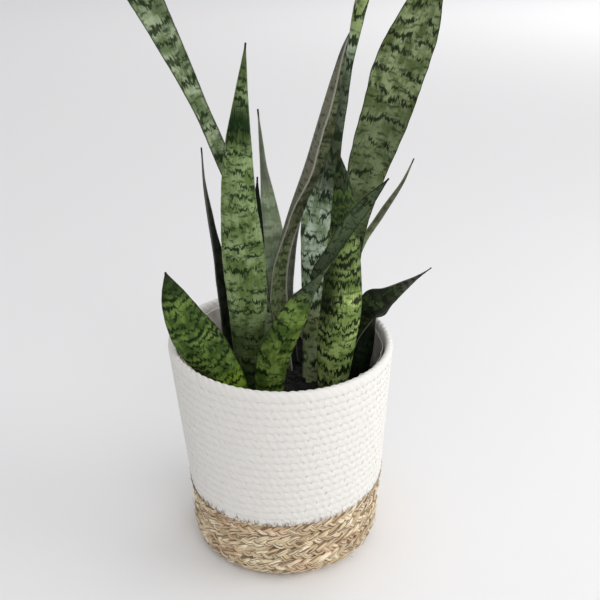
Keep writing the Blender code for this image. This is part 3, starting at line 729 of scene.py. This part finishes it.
def rope_material(fibres, colour):
    """Soft matt cotton: pale fibres along each strand, and painted shade that greys the grooves
    between the strands.
    """
    b = Finish("cotton_rope", 0.92, sheen=0.10)
    marks = b.group(fibres, {"Place": b.flat_place(), "Across": 2600.0, "Along": 130.0}).outputs
    body = b.mix(b.rise(marks["Fibres"], 0.3, 0.7), b.mix(0.12, colour, (0.32, 0.29, 0.25)), colour)
    body = b.tint(body, b.rise(marks["Tone"], 0.55, 0.75), (214, 205, 190), 0.20)
    # painted shade: greys the low grooves between the rope's strands
    body = b.tint(body, b.fall(b.value("height"), 0.60, 0.95), (190, 183, 172), 0.12)
    return b.coat_with(body, marks["Fibres"], 0.5, 0.0005)


def grass_material(fibres, colour):
    """Dry seagrass: straw strands, darker and redder in places, with painted shade in the creases
    between the stalks, matt with a faint shine.
    """
    b = Finish("dry_seagrass", 0.68, sheen=0.05)
    marks = b.group(fibres, {"Place": b.flat_place(), "Across": 850.0, "Along": 28.0}).outputs
    body = b.mix(b.rise(marks["Tone"], 0.35, 0.65), linear((220, 196, 156)), colour)
    ruddy = b.rise(b.noise(b.place(), (26.0, 26.0, 60.0), 2.0), 0.50, 0.66)
    body = b.tint(body, ruddy, (206, 162, 128), 0.45)
    # darker where the tone is low: the random tone of each strand, and painted shade in the braid's
    # creases
    body = b.tint(body, b.fall(b.value("tone_and_crease_shade"), 0.1, 0.9), (176, 148, 108), 0.55)
    body = b.tint(body, b.fall(marks["Fibres"], 0.43, 0.51), (88, 64, 38), 0.85)
    return b.coat_with(body, marks["Fibres"], 0.8, 0.0008)


def thread_material():
    """Off-white sewing thread with paler and darker specks."""
    b = Finish("stitch_thread", 0.8, sheen=0.2)
    tone = b.noise(b.place(), (900.0,) * 3, 1.0)
    return b.coat_with(b.mix(tone, linear((214, 210, 202)), linear((238, 236, 230))))


def film_material(colour):
    """Thin plastic film: grey-brown, softly shiny, paler where creases have stretched it, with a
    painted highlight along its top edge.
    """
    b = Finish("liner_film", 0.32)
    place = b.place()
    crease = b.noise(place, (90.0, 90.0, 22.0), 3.0)
    cloud = b.noise(place, (30.0,) * 3, 2.0)
    body = b.mix(b.rise(crease, 0.42, 0.68), colour, linear((206, 200, 194)))
    body = b.tint(body, b.rise(cloud, 0.4, 0.7), (150, 143, 135))
    # painted highlight: a pale line along the film's top edge
    body = b.tint(body, b.fall(b.value("from_edge"), 0.0003, 0.0016), (226, 221, 216), 0.8)
    return b.coat_with(body, crease, 0.5, 0.001, b.plus(0.22, b.times(crease, 0.3)))


def soil_material(colour):
    """Damp dark soil with paler and redder grains; its near-black colour is partly the damp soil's
    own and partly painted shade of the deep pot.
    """
    b = Finish("potting_soil", 0.93)
    place = b.place()
    grain = b.noise(place, (420.0,) * 3, 4.0)
    patch = b.rise(b.noise(place, (60.0,) * 3, 2.0), 0.5, 0.75)
    # near-black body: partly the soil's own colour, partly painted shade of the deep pot
    body = b.mix(b.rise(grain, 0.4, 0.7), linear((4, 4, 3)), colour)
    body = b.tint(body, patch, (44, 34, 25), 0.5)
    return b.coat_with(body, grain, 0.9, 0.0015)


# Shapes of the basket


def wall_radius(height):
    """Outer radius of the basket at a height: a cone that widens a little above the seam."""
    height = np.asarray(height, dtype=float)
    above = SEAM_RADIUS + (RIM_RADIUS - SEAM_RADIUS) * (height - SEAM_HEIGHT) / (
        RIM_HEIGHT - SEAM_HEIGHT)
    below = FOOT_RADIUS + (SEAM_RADIUS - FOOT_RADIUS) * height / SEAM_HEIGHT
    return np.where(height > SEAM_HEIGHT, above, below)


def slumped(points):
    """Leans points sideways, tilts the seam and lowers one side of the rim."""
    x, y, height = points[..., 0], points[..., 1], points[..., 2]
    below = np.clip(height / SEAM_HEIGHT, 0.0, 1.0)
    above = np.clip((height - SEAM_HEIGHT) / (RIM_HEIGHT - SEAM_HEIGHT), 0.0, 1.1)
    towards = (x * math.cos(DIP_BEARING) + y * math.sin(DIP_BEARING)) / RIM_RADIUS
    lean = SEAM_LEAN * below + (RIM_LEAN - SEAM_LEAN) * above
    tilt = SEAM_TILT * below * np.clip(1.0 - above, 0.0, 1.0) * x / RIM_RADIUS
    return bundle(x - lean, y, height + tilt - RIM_DIP * above * towards)


def round_axis(radius, height, angle):
    """Points at a radius, height and angle. Angle 0 is at the back, at +Y."""
    return bundle(-radius * np.sin(angle), radius * np.cos(angle), height)


def outward_of(path):
    """Level directions from the axis to the points of a path."""
    return unit(path * np.array([1.0, 1.0, 0.0]))


def squared(wave, power):
    """A sine or cosine to a power below 1, which flattens the sides of a round section."""
    return np.sign(wave) * np.abs(wave) ** power


def rope_coils(name, first, last, sizes, material, nodes):
    """Coils of three-strand rope from one turn to another.

    The path goes round level, and climbs one pitch in the last tenth of each turn, at the back,
    where the rope's two ends taper. The section is an oval, a little squared and tall enough to
    press into the coils next to it, with three shallow lobes that turn once in each lay along
    the path.
    """
    step, climb, columns = 0.0019, 0.1, 18
    start, start_taper = -0.09, 0.09
    end, end_taper = sizes.coil_count - 0.07, 0.05
    deep_overlap, high_overlap = 1.02, 1.45
    lobe_centre, lobe_radius, third = 0.26, 0.74, TURN / 3.0
    pitch = (RIM_HEIGHT - SEAM_HEIGHT) / sizes.coil_count
    half, deep = 0.5 * pitch, 0.5 * WALL - 0.0003

    turn = np.linspace(start, end, int((end - start) * TURN * RIM_RADIUS / step))
    level = np.floor(turn) + smoothstep((turn % 1.0 - (1.0 - climb)) / climb)
    level = np.clip(level, 0.0, sizes.coil_count - 1.0)
    grow = taper((turn - start) / start_taper)
    fade = taper((end - turn) / end_taper)
    height = SEAM_HEIGHT + (level + 0.5) * pitch + (grow + fade - 2.0) * half
    path = round_axis(wall_radius(height) - deep, height, TURN * turn)
    run = distance_along(path)

    around = np.pi + TURN * np.arange(columns + 1) / columns
    phase = around[None, :] - TURN * run[:, None] / sizes.lay
    lobe = (phase + 0.5 * third) % third - 0.5 * third
    beside = lobe_centre * np.sin(lobe)
    reach = lobe_centre * np.cos(lobe) + np.sqrt(lobe_radius**2 - beside**2)
    rough = run[:, None, None] + 0.004 * around[None, :, None]
    soft = 1.0 + 0.02 * ripples(rough, 10, 0.006, 0.02, np.random.default_rng(2))
    size = (grow * fade)[:, None] * reach * soft
    section = size[..., None] * bundle(
        deep_overlap * deep * squared(np.cos(around), 0.80),
        high_overlap * half * squared(np.sin(around), 0.90))

    keep = (turn >= first) & (turn <= last + 0.002)
    outward = round_axis(1.0, 0.0, TURN * turn)
    points = slumped(tube_points(path, outward, section[:, :columns]))[keep]
    quads, places, caps = many_tubes(points[None])
    run_at = run[keep][places[..., 0]]
    uv = bundle((around[places[..., 1]] - TURN * run_at / sizes.lay) * half, run_at)
    return add_piece(
        name, points, quads, caps, uv, {"height": reach[keep, :columns]}, material,
        nodes)


def stitches(sizes, material):
    """Short slanting threads that cross each groove between two coils.

    Each thread rises from inside the lower coil, lies across the groove and sinks into the upper.
    """
    thread, inset, slant, jitter = 0.0005, 0.0006, 6.0, 0.0003
    reach = np.array([-0.0031, -0.0022, 0.0, 0.0022, 0.0031])
    sunk = np.array([0.0012, 0.0002, -0.0001, 0.0002, 0.0012])
    rng = np.random.default_rng(11)
    pitch = (RIM_HEIGHT - SEAM_HEIGHT) / sizes.coil_count
    paths = []
    for groove in range(1, sizes.coil_count):
        middle = SEAM_HEIGHT + groove * pitch
        count = int(TURN * float(wall_radius(middle)) / sizes.stitch_step)
        angle = (np.arange(count) + 0.25 * rng.random(count)) / count * TURN
        way = np.where(np.arange(count) % 2 == 0, slant, -slant)
        height = middle + reach[None, :] + jitter * rng.normal(size=(count, 1))
        radius = wall_radius(height) - inset - sunk[None, :]
        paths.append(round_axis(radius, height, angle[:, None] + way[:, None] * reach))
    path = np.concatenate(paths)
    section = np.broadcast_to(thread * circle(bearings(5)), path.shape[:2] + (5, 2))
    points = slumped(tube_points(path, outward_of(path), section))
    quads, _, caps = many_tubes(points)
    return add_piece("stitch_thread", points, quads, caps, None, None, material)


def braid_path(turn, pitch):
    """Centre line of the braid at a number of turns from the seam, with its outward direction.

    The rows go down the wall, round the foot and then in to the middle of the floor. The braid's
    end tapers in under the rope, over the place where the first row steps down.
    """
    # Each row is its number, its radius, its height and its tilt in degrees
    heights = SEAM_HEIGHT - (np.arange(4) + 0.5) * pitch
    rows = [(k, wall_radius(heights[k]) - 0.0037, heights[k], (5, 5, 6, 10)[k]) for k in range(4)]
    rows.append((4, FOOT_RADIUS - 0.0078, 0.0082, 48))
    rows += [(k, FOOT_RADIUS - 0.0190 - 0.0145 * (k - 5), 0.0040, 90) for k in range(5, 10)]
    rows.append((10, 0.006, 0.004, 90))
    number, radii, middles, tilts = np.array(rows).T
    grow = taper((turn - BRAID_START) / -BRAID_START)
    level = np.floor(turn) + smoothstep((turn % 1.0 - (1.0 - ROW_STEP)) / ROW_STEP)
    height = np.interp(level, number, middles) + 0.5 * pitch * (1.0 - grow)
    tilt = np.radians(np.interp(level, number, tilts))[:, None]
    path = round_axis(np.interp(level, number, radii), height, TURN * turn)
    level_out = round_axis(1.0, 0.0, TURN * turn)
    up = np.array([0.0, 0.0, 1.0])
    out = level_out * np.cos(tilt) - up * np.sin(tilt)
    across = level_out * np.sin(tilt) + up * np.cos(tilt)
    return path, out, across, grow


def braid(name, first, last, step, columns, sizes, material, nodes, swell=1.0):
    """Three strands woven over and under.

    Each sways across the row as a sine of the run, and in and out as the sine of twice that, a
    third of a period after the last. Seven stalks run along each strand, with a crease between
    each two.
    """
    strand_deep, strand_high, crease = 0.0024 * swell, 0.0042, 0.34
    sway_reach, weave_reach, stalks, twist_rate = 0.0043, 0.0011 * swell, 7, 90.0
    rng = np.random.default_rng(5)
    every = np.linspace(BRAID_START, BRAID_END, 14000)
    length = distance_along(braid_path(every, sizes.braid_pitch)[0])
    ends = np.interp([first, last], every, length)
    run = np.arange(ends[0], ends[1] + step, step)
    path, out, across, grow = braid_path(np.interp(run, length, every), sizes.braid_pitch)
    around = TURN * np.arange(columns + 1) / columns
    line = run[:, None]
    strands, sections, tone_and_shade_rows = [], [], []
    for strand in range(3):
        drift = ripples(line, 12, 0.02, 0.12, rng)
        phase = TURN * (run / sizes.braid_period + strand / 3.0) + 0.25 * drift
        sway = sway_reach * np.sin(phase) + 0.0003 * ripples(line, 8, 0.01, 0.05, rng)
        weave = weave_reach * np.sin(2.0 * phase)
        strands.append(path + across * (grow * sway)[:, None] + out * (grow * weave)[:, None])
        fat = 1.0 + 0.08 * ripples(line, 10, 0.008, 0.05, rng)
        twist = 1.2 * ripples(line, 4, 0.05, 0.2, rng) + twist_rate * run
        stalk = np.abs(np.sin(0.5 * (stalks * around[None, :] + 2.0 * twist[:, None])))
        wisp = 1.0 + 0.05 * ripples(
            bundle(line, 0.01 * np.sin(around)), 12, 0.003, 0.02, rng)
        reach = (1.0 - crease * (1.0 - stalk) ** 2) * fat[:, None] * grow[:, None] * wisp
        sections.append(bundle(
            strand_deep * reach * np.cos(around), strand_high * reach * np.sin(around)))
        tone = 0.5 + 0.35 * ripples(line, 6, 0.02, 0.10, rng) + 0.25 * (strand - 1)
        # painted shade: the stalk term darkens the creases between stalks, on top of each strand's
        # random tone
        tone_and_shade_rows.append(tone[:, None] + 0.5 * (stalk[:, :columns] - 0.6))
    path, section = np.stack(strands), np.stack(sections)[:, :, :columns]
    points = slumped(tube_points(path, np.broadcast_to(out, path.shape), section))
    quads, places, caps = many_tubes(points)
    strand_of = np.repeat(np.arange(3), len(quads) // 3)[:, None]
    uv = bundle(around[places[..., 1]] * 0.0026 + 0.05 * strand_of, run[places[..., 0]])
    return add_piece(
        name, points, quads, caps, uv, {"tone_and_crease_shade": np.stack(tone_and_shade_rows)}, material,
        nodes)


def loose_fibres(material):
    """Thin ends of grass that stand off the braid, most of them along the seam."""
    count, rows, columns = 900, 6, 4
    seam_share, seam_spread, lowest = 0.80, 0.0012, 0.002
    root_depth, thickness, thin_end = 0.0012, 0.00022, 0.7
    rng = np.random.default_rng(23)
    angle = TURN * rng.random(count)
    at_seam = rng.random(count) < seam_share
    height = np.where(at_seam, SEAM_HEIGHT + rng.normal(0.0, seam_spread, count),
                      0.010 + (SEAM_HEIGHT - 0.014) * rng.random(count))
    length = np.where(
        at_seam, 0.002 + 0.004 * rng.random(count), 0.006 + 0.010 * rng.random(count))
    heading = rng.normal(0.0, 0.5, count) + np.where(rng.random(count) < 0.5, 0.0, np.pi)
    heading = np.where(at_seam, 0.5 * np.pi + rng.normal(0.0, 0.6, count), heading)
    lift = 0.0002 + 0.0010 * rng.random(count) ** 2
    share = np.linspace(0.0, 1.0, rows)[None, :]
    along = (length * np.cos(heading))[:, None] * share
    climb = (length * np.sin(heading))[:, None] * (share + 0.3 * share**2)
    z = np.clip(height[:, None] + climb, lowest, None)
    radius = wall_radius(z) + 0.0004 + lift[:, None] * share**1.5
    radius = radius - root_depth * (1.0 - share) ** 2
    path = round_axis(radius, z, angle[:, None] + along / 0.1)
    thin = (thickness + 0.00012 * rng.random(count))[:, None] * (1.0 - thin_end * share)
    section = thin[..., None, None] * circle(bearings(columns))
    points = slumped(tube_points(path, outward_of(path), section))
    quads, places, caps = many_tubes(points)
    tone = np.repeat(rng.random(count), rows * columns)
    uv = bundle(places[..., 1] * 0.0004, places[..., 0] * 0.002)
    return add_piece("loose_fibres", points, quads, caps, uv, {"tone_and_crease_shade": tone}, material)


def add_cup(name, points, start, end, values, material, node):
    """A closed skin of rings from one point of the axis to another, given by their heights."""
    rows, columns = points.shape[:2]
    quads, _ = grid_quads(rows, columns, close_columns=True)
    ring = np.arange(columns)
    after = (ring + 1) % columns
    pole = np.full(columns, rows * columns)
    base = (rows - 1) * columns
    caps = np.concatenate([
        bundle(pole, after, ring), bundle(pole + 1, base + ring, base + after)]).tolist()
    poles = np.array([[0.0, 0.0, start], [0.0, 0.0, end]])
    points = slumped(np.concatenate([points.reshape(-1, 3), poles]))
    return add_piece(name, points, quads, caps, None, values, material, (node,))


def liner_film(material):
    """A loose film cup: creases run down it, and its edge waves a little below the rim.

    The radius is that of the basket's inner wall, less folds that are the power 1.5 of slow
    ripples round the cup, so that they stay shallow and turn sharp here and there.
    """
    columns, film, floor = 540, 0.0004, 0.0083
    edge_wave, fold_reach, deepest, crumple_reach = 0.0012, 0.0009, 0.004, 0.00025
    blend_low, blend_height = SOIL_LEVEL - 0.02, 0.04
    rng = np.random.default_rng(3)
    angle = -bearings(columns)
    ring = circle(angle) * 0.1
    folds = ripples(ring, 14, 0.008, 0.05, rng)
    small = ripples(ring, 12, 0.003, 0.010, rng)
    edge = edge_wave * ripples(ring, 8, 0.02, 0.12, rng) + 0.0003 * small
    top = RIM_HEIGHT - LINER_BELOW_RIM + edge
    share = np.concatenate([np.linspace(0.0, 0.55, 8)[:-1], np.linspace(0.55, 1.0, 46)])[:, None]
    height = floor + (top[None, :] - floor) * share
    loose = smoothstep((height - blend_low) / blend_height)
    depth = 0.0004 + fold_reach * np.abs(folds) ** 1.5 + 0.0002 * (small + 1.5)
    crumple = ripples(bundle(0.1 * angle, height), 16, 0.004, 0.03, rng)
    inward = loose * (depth[None, :] + crumple_reach * (crumple + 2.0))
    outside = wall_radius(height) - WALL - LINER_GAP - np.clip(inward, 0.0, deepest)
    across = np.array([0.02, 0.5, 0.9])[:, None]
    profile = np.concatenate([
        bundle(outside[:1] * across, floor),
        bundle(outside, height),
        bundle(outside[-1:] - 0.5 * film, height[-1:] + 0.3 * film),
        bundle(outside[::-1] - film, np.maximum(height[::-1], floor + film)),
        bundle((outside[:1] - film) * across[::-1], floor + film)])
    radius, height = profile[..., 0], profile[..., 1]
    below_edge = np.maximum(top[None, :] - height, 0.0).ravel()
    return add_cup("liner_film", round_axis(radius, height, -angle), floor, floor + film,
                   {"from_edge": np.concatenate([below_edge, [1.0, 1.0]])}, material,
                   "plastic_liner")


def soil_height(x, y):
    """The soil's uneven top: a shallow heap in the middle and two slow waves across it."""
    reach = float(wall_radius(SOIL_LEVEL)) - WALL
    heap = 0.5 * SOIL_SWELL * (1.0 - (x * x + y * y) / (reach * reach))
    return SOIL_LEVEL + heap + 0.3 * SOIL_SWELL * (np.sin(70.0 * x + 1.0) + np.cos(85.0 * y))


def soil_bed(material):
    """The soil: a plug that fills the film, with a lumpy top made of ripples of three sizes."""
    columns, rings, bottom, below_top = 260, 90, 0.0092, 0.150
    inset = WALL + LINER_GAP + 0.0026
    rng = np.random.default_rng(8)
    angle = bearings(columns)
    reach = float(wall_radius(SOIL_LEVEL)) - inset
    share = np.linspace(1.0, 0.004, rings)[:, None]
    x = -reach * share * np.sin(angle)
    y = reach * share * np.cos(angle)
    ground = bundle(x, y)
    lumps = 0.0010 * ripples(ground, 14, 0.008, 0.03, rng)
    lumps += 0.0007 * np.abs(ripples(ground, 18, 0.003, 0.007, rng))
    lumps += 0.0003 * ripples(ground, 18, 0.0016, 0.003, rng)
    top = bundle(x, y, soil_height(x, y) + lumps)
    heights = np.array([bottom, SEAM_HEIGHT, below_top])[:, None]
    side = round_axis(wall_radius(heights) - inset, heights, angle)
    floor = side[:1] * np.array([0.02, 0.02, 1.0])
    return add_cup("soil_bed", np.concatenate([floor, side, top]), bottom,
                   float(top[-1, :, 2].mean()), None, material, "potting_soil")


def soil_crumbs(count, material):
    """Loose crumbs: balls of a few faces, squashed and dented at random, half sunk in the soil."""
    rows, columns = 5, 7
    rng = np.random.default_rng(31)
    reach = float(wall_radius(SOIL_LEVEL)) - WALL - 0.006
    radius = reach * np.sqrt(rng.random(count))
    angle = TURN * rng.random(count)
    x, y = radius * np.cos(angle), radius * np.sin(angle)
    size = 0.0006 + 0.0022 * rng.random(count) ** 3
    polar = (np.linspace(0.12, 0.88, rows) * np.pi)[:, None]
    around = bearings(columns)
    ball = bundle(np.sin(polar) * np.cos(around), np.sin(polar) * np.sin(around), -np.cos(polar))
    dents = 1.0 + 0.18 * rng.normal(size=(count, rows, columns, 1))
    squash = 0.6 + 0.7 * rng.random((count, 1, 1, 3))
    spin = np.linalg.qr(rng.normal(size=(count, 3, 3)))[0]
    spin *= np.sign(np.linalg.det(spin))[:, None, None]
    shape = np.einsum("nab,nijb->nija", spin, ball[None] * dents * squash)
    centre = bundle(x, y, soil_height(x, y) + 0.5 * size)
    points = slumped(centre[:, None, None, :] + shape * size[:, None, None, None])
    quads, _, caps = many_tubes(points)
    return add_piece("soil_crumbs", points, quads, caps, None, None, material)


# Shapes of the leaves


def smooth_stations(stations, count):
    """Stations read from a smooth curve through the given ones, evenly along its length.

    Between two stations each column is a cubic whose slope at a station is that of the
    neighbours on both sides.
    """
    rows = np.array(stations, dtype=float)
    place = distance_along(rows[:, :3])
    slope = np.gradient(rows, place, axis=0)
    at = np.linspace(0.0, place[-1], count)
    left = np.clip(np.searchsorted(place, at, side="right") - 1, 0, len(place) - 2)
    span = (place[left + 1] - place[left])[:, None]
    t = (at - place[left])[:, None] / span
    return (
        rows[left] * (2 * t**3 - 3 * t**2 + 1)
        + slope[left] * span * (t**3 - 2 * t**2 + t)
        + rows[left + 1] * (3 * t**2 - 2 * t**3)
        + slope[left + 1] * span * (t**3 - t**2)
    )


def leaf_surface(name, leaf, order, row_step, material):
    """One leaf as a closed skin.

    The middle of its section is a parabola as deep as the channel, and the skin stands off it
    along its normal by half the thickness, which is greatest at the midrib. The margins wave
    along the leaf in opposite ways, with small uneven ripples on top.
    """
    rng = np.random.default_rng(100 + order)
    length = leaf_length(leaf)
    count = int(length / row_step)
    rows = smooth_stations(leaf["stations"], count)
    share = np.linspace(0.0, 1.0, count)[:, None]
    run = share * length
    spine = rows[:, :3] * MILLI
    width = np.maximum(rows[:, 3:4] * MILLI, TIP_WIDTH)
    bearing = np.radians(rows[:, 4])
    depth = 0.01 * rows[:, 5:6] * width
    along = unit(np.gradient(spine, axis=0))
    face = bundle(np.cos(bearing), np.sin(bearing), 0.0)
    face = unit(face - along * np.sum(face * along, axis=1, keepdims=True))
    across = np.cross(along, face)
    thick = ROOT_THICKNESS + (TIP_THICKNESS - ROOT_THICKNESS) * np.sqrt(share)
    thick = np.minimum(thick, 0.25 * width + MARGIN_THICKNESS)
    margin = MARGIN_THICKNESS * 0.7

    half_columns = 15
    columns = 2 * half_columns
    u = np.sin(np.linspace(-0.5, 0.5, half_columns) * np.pi)[None, :]
    wave = leaf["wave"] * MILLI * np.sin(np.pi * share) ** 0.5
    phase = TURN * run / WAVE_LENGTH
    uneven = 0.15 * ripples(bundle(run, 0.05 * u), 8, 0.012, 0.04, rng)
    channel = depth * (u**2 - CHANNEL_REST)
    forward = channel + wave * u**2 * (np.sin(phase + WAVE_LAG * u) + uneven)
    edge = 1.0 + 0.008 * ripples(bundle(run, 0.3 * np.sign(u)), 8, 0.006, 0.03, rng)
    sideways = 0.5 * width * u * edge
    slope = 4.0 * (depth / width) * u
    root_of = 1.0 / np.sqrt(1.0 + slope**2)
    half = 0.5 * (margin + (thick - margin) * (1.0 - u**2))
    sides = []
    for side in (1.0, -1.0):
        out_across = sideways - side * half * slope * root_of
        out_face = forward + side * half * root_of
        sides.append(spine[:, None] + across[:, None] * out_across[..., None]
                     + face[:, None] * out_face[..., None])
    points = np.concatenate([sides[0], sides[1][:, ::-1]], axis=1)

    quads, places = grid_quads(count, columns, close_columns=True)
    flat = np.concatenate([sideways, 0.06 - sideways[:, ::-1], sideways[:, :1]], axis=1)
    uv = bundle(flat[places[..., 0], places[..., 1]], run[places[..., 0], 0])
    caps, last = [], (count - 1) * columns
    for j in range(half_columns - 1):
        far = columns - 1 - j
        caps.append((j, far, far - 1, j + 1))
        caps.append((last + j + 1, last + far - 1, last + far, last + j))
    from_margin = 0.5 * width * (1.0 - np.abs(u))
    values = {
        "share": np.repeat(share, columns, axis=1),
        "from_margin": np.concatenate([from_margin, from_margin[:, ::-1]], axis=1),
        "from_tip": np.repeat(length - run, columns, axis=1),
        "off_middle": np.concatenate([sideways, sideways[:, ::-1]], axis=1),
        "front": np.repeat(np.arange(columns)[None, :] < half_columns, count, axis=0),
    }
    return add_piece(name.replace("leaf_", "blade_"), points, quads, caps, uv, values, material,
                     (name,))


# Stage, lights and camera


def floor_disc(radius, colour):
    """A big flat disc, pale and matt, just under the basket."""
    columns = 96
    rings = np.array([radius, 6.0, 2.0, 0.6, 0.2])[:, None]
    points = round_axis(rings, 0.0, bearings(columns))
    quads, _ = grid_quads(len(rings), columns, close_columns=True)
    base = (len(rings) - 1) * columns
    mesh = bpy.data.meshes.new("floor")
    faces = quads.tolist() + [tuple(range(base, base + columns))]
    mesh.from_pydata(points.reshape(-1, 3).tolist(), [], faces)
    mesh.materials.append(Finish("pale_floor", 0.85).coat_with((*colour, 1.0)))
    floor = bpy.data.objects.new("floor", mesh)
    bpy.context.scene.collection.objects.link(floor)


def soft_light(name, place, target, size, power):
    """A round lamp of a size in metres and a power in watts that faces a target."""
    light = bpy.data.lights.new(name, "AREA")
    light.shape = "DISK"
    light.size = size
    light.energy = power
    lamp = bpy.data.objects.new(name, light)
    bpy.context.scene.collection.objects.link(lamp)
    lamp.location = place
    lamp.rotation_euler = (Vector(target) - Vector(place)).to_track_quat("-Z", "Y").to_euler()


def room_light(strength):
    """Light from all sides that is a third stronger from the right than from the left."""
    world = bpy.data.worlds.new("room")
    world.use_nodes = True
    b = Board(world.node_tree)
    direction = b.add("ShaderNodeTexCoord").outputs["Generated"]
    right = b.add("ShaderNodeVectorMath", {0: direction, 1: (0.28, -0.05, 0.12)},
                  operation="DOT_PRODUCT").outputs["Value"]
    background = world.node_tree.nodes["Background"].inputs
    background["Color"].default_value = (*linear((252, 253, 255)), 1.0)
    b.fill(background["Strength"], b.times(b.plus(1.0, right), strength))
    bpy.context.scene.world = world


def camera(lens):
    """The camera stands 74 cm in front of the basket's axis and looks down at it."""
    data = bpy.data.cameras.new("camera")
    data.lens = lens
    data.sensor_width = 36.0
    data.clip_start = 0.01
    holder = bpy.data.objects.new("camera", data)
    bpy.context.scene.collection.objects.link(holder)
    holder.location = CAMERA_PLACE
    holder.rotation_euler = [math.radians(turn) for turn in CAMERA_TURNS]
    bpy.context.scene.camera = holder


# Operators


class AddStudio(bpy.types.Operator):
    """Add the floor, the soft lights and the camera"""

    bl_idname = "plant.add_studio"
    bl_label = "Studio"

    def execute(self, context):
        look = context.scene.studio_sizes
        camera(look.lens)
        floor_disc(look.floor_radius, tuple(look.floor_colour))
        room_light(look.room_strength)
        context.scene.view_settings.view_transform = "Standard"
        soft_light("key", (1.6, -0.25, 0.85), (0.0, 0.0, 0.15), 1.3, look.key_power)
        soft_light("front", (0.9, -2.4, 1.9), (0.0, 0.0, 0.2), 2.0, look.fill_power)
        soft_light("behind", (3.4, 5.0, 3.0), (2.6, 5.0, 0.0), 4.0, look.back_power)
        return {"FINISHED"}


class AddRopeWall(bpy.types.Operator):
    """Add the coils of cotton rope and their stitches"""

    bl_idname = "plant.add_rope_wall"
    bl_label = "Rope wall"

    def execute(self, context):
        sizes = context.scene.basket_sizes
        fibres = shared_group("strand_fibres", fibre_group)
        cotton = rope_material(fibres, tuple(sizes.rope_colour))
        middle = sizes.coil_count // 2
        rope_coils("rope_coils_low", -1, middle, sizes, cotton, ("cotton_rope_wall",))
        rope_coils("rope_coils_high", middle, sizes.coil_count, sizes, cotton, ())
        stitches(sizes, thread_material())
        return {"FINISHED"}


class AddSeagrassCup(bpy.types.Operator):
    """Add the rows of seagrass braid, the braided floor and the loose fibres"""

    bl_idname = "plant.add_seagrass_cup"
    bl_label = "Seagrass cup"

    def execute(self, context):
        sizes = context.scene.basket_sizes
        fibres = shared_group("strand_fibres", fibre_group)
        grass = grass_material(fibres, tuple(sizes.grass_colour))
        braid("braid_rows_high", BRAID_START, 2.5, 0.0017, 24, sizes, grass, ("seagrass_base",))
        braid("braid_rows_low", 2.5, 5.0, 0.0017, 24, sizes, grass, ())
        braid("braid_floor", 5.0, BRAID_END, 0.0024, 14, sizes, grass, (), 0.9)
        loose_fibres(grass)
        return {"FINISHED"}


class AddLiner(bpy.types.Operator):
    """Add the creased film inside the basket"""

    bl_idname = "plant.add_liner"
    bl_label = "Liner"

    def execute(self, context):
        liner_film(film_material(tuple(context.scene.plant_sizes.film_colour)))
        return {"FINISHED"}


class AddSoil(bpy.types.Operator):
    """Add the soil and its loose crumbs"""

    bl_idname = "plant.add_soil"
    bl_label = "Soil"

    def execute(self, context):
        sizes = context.scene.plant_sizes
        earth = soil_material(tuple(sizes.soil_and_shade_colour))
        soil_bed(earth)
        soil_crumbs(sizes.crumb_count, earth)
        return {"FINISHED"}


class AddLeaves(bpy.types.Operator):
    """Add every leaf with its own banded skin"""

    bl_idname = "plant.add_leaves"
    bl_label = "Leaves"

    def execute(self, context):
        step = context.scene.plant_sizes.row_step
        noises = shared_group("leaf_noise", leaf_noise_group)
        for order, (name, own) in enumerate(LEAVES.items()):
            leaf = {**PLAIN_LEAF, **own}
            skin = leaf_material(name, leaf, order, noises)
            leaf_surface(name, leaf, order, step, skin)
        return {"FINISHED"}


class PlantPanel(bpy.types.Panel):
    """Lists the pieces of the plant"""

    bl_idname = "VIEW3D_PT_snake_plant"
    bl_label = "Snake plant"
    bl_space_type = "VIEW_3D"
    bl_region_type = "UI"
    bl_category = "Plant"

    def draw(self, context):
        for maker in MAKERS:
            self.layout.operator(maker.bl_idname)


MAKERS = (AddStudio, AddRopeWall, AddSeagrassCup, AddLiner, AddSoil, AddLeaves)
SETTINGS = (BasketSizes, PlantSizes, StudioSizes)


def shared_group(name, make):
    """The node group of that name, made the first time that it is asked for."""
    return bpy.data.node_groups.get(name) or make()


def register():
    for cls in SETTINGS + MAKERS + (PlantPanel,):
        bpy.utils.register_class(cls)
    bpy.types.Scene.basket_sizes = PointerProperty(type=BasketSizes)
    bpy.types.Scene.plant_sizes = PointerProperty(type=PlantSizes)
    bpy.types.Scene.studio_sizes = PointerProperty(type=StudioSizes)


def unregister():
    for label in ("basket_sizes", "plant_sizes", "studio_sizes"):
        delattr(bpy.types.Scene, label)
    for cls in reversed(SETTINGS + MAKERS + (PlantPanel,)):
        bpy.utils.unregister_class(cls)


def main():
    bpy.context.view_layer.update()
    register()
    for maker in MAKERS:
        group, call = maker.bl_idname.split(".")
        getattr(getattr(bpy.ops, group), call)()


if __name__ == "__main__":
    main()
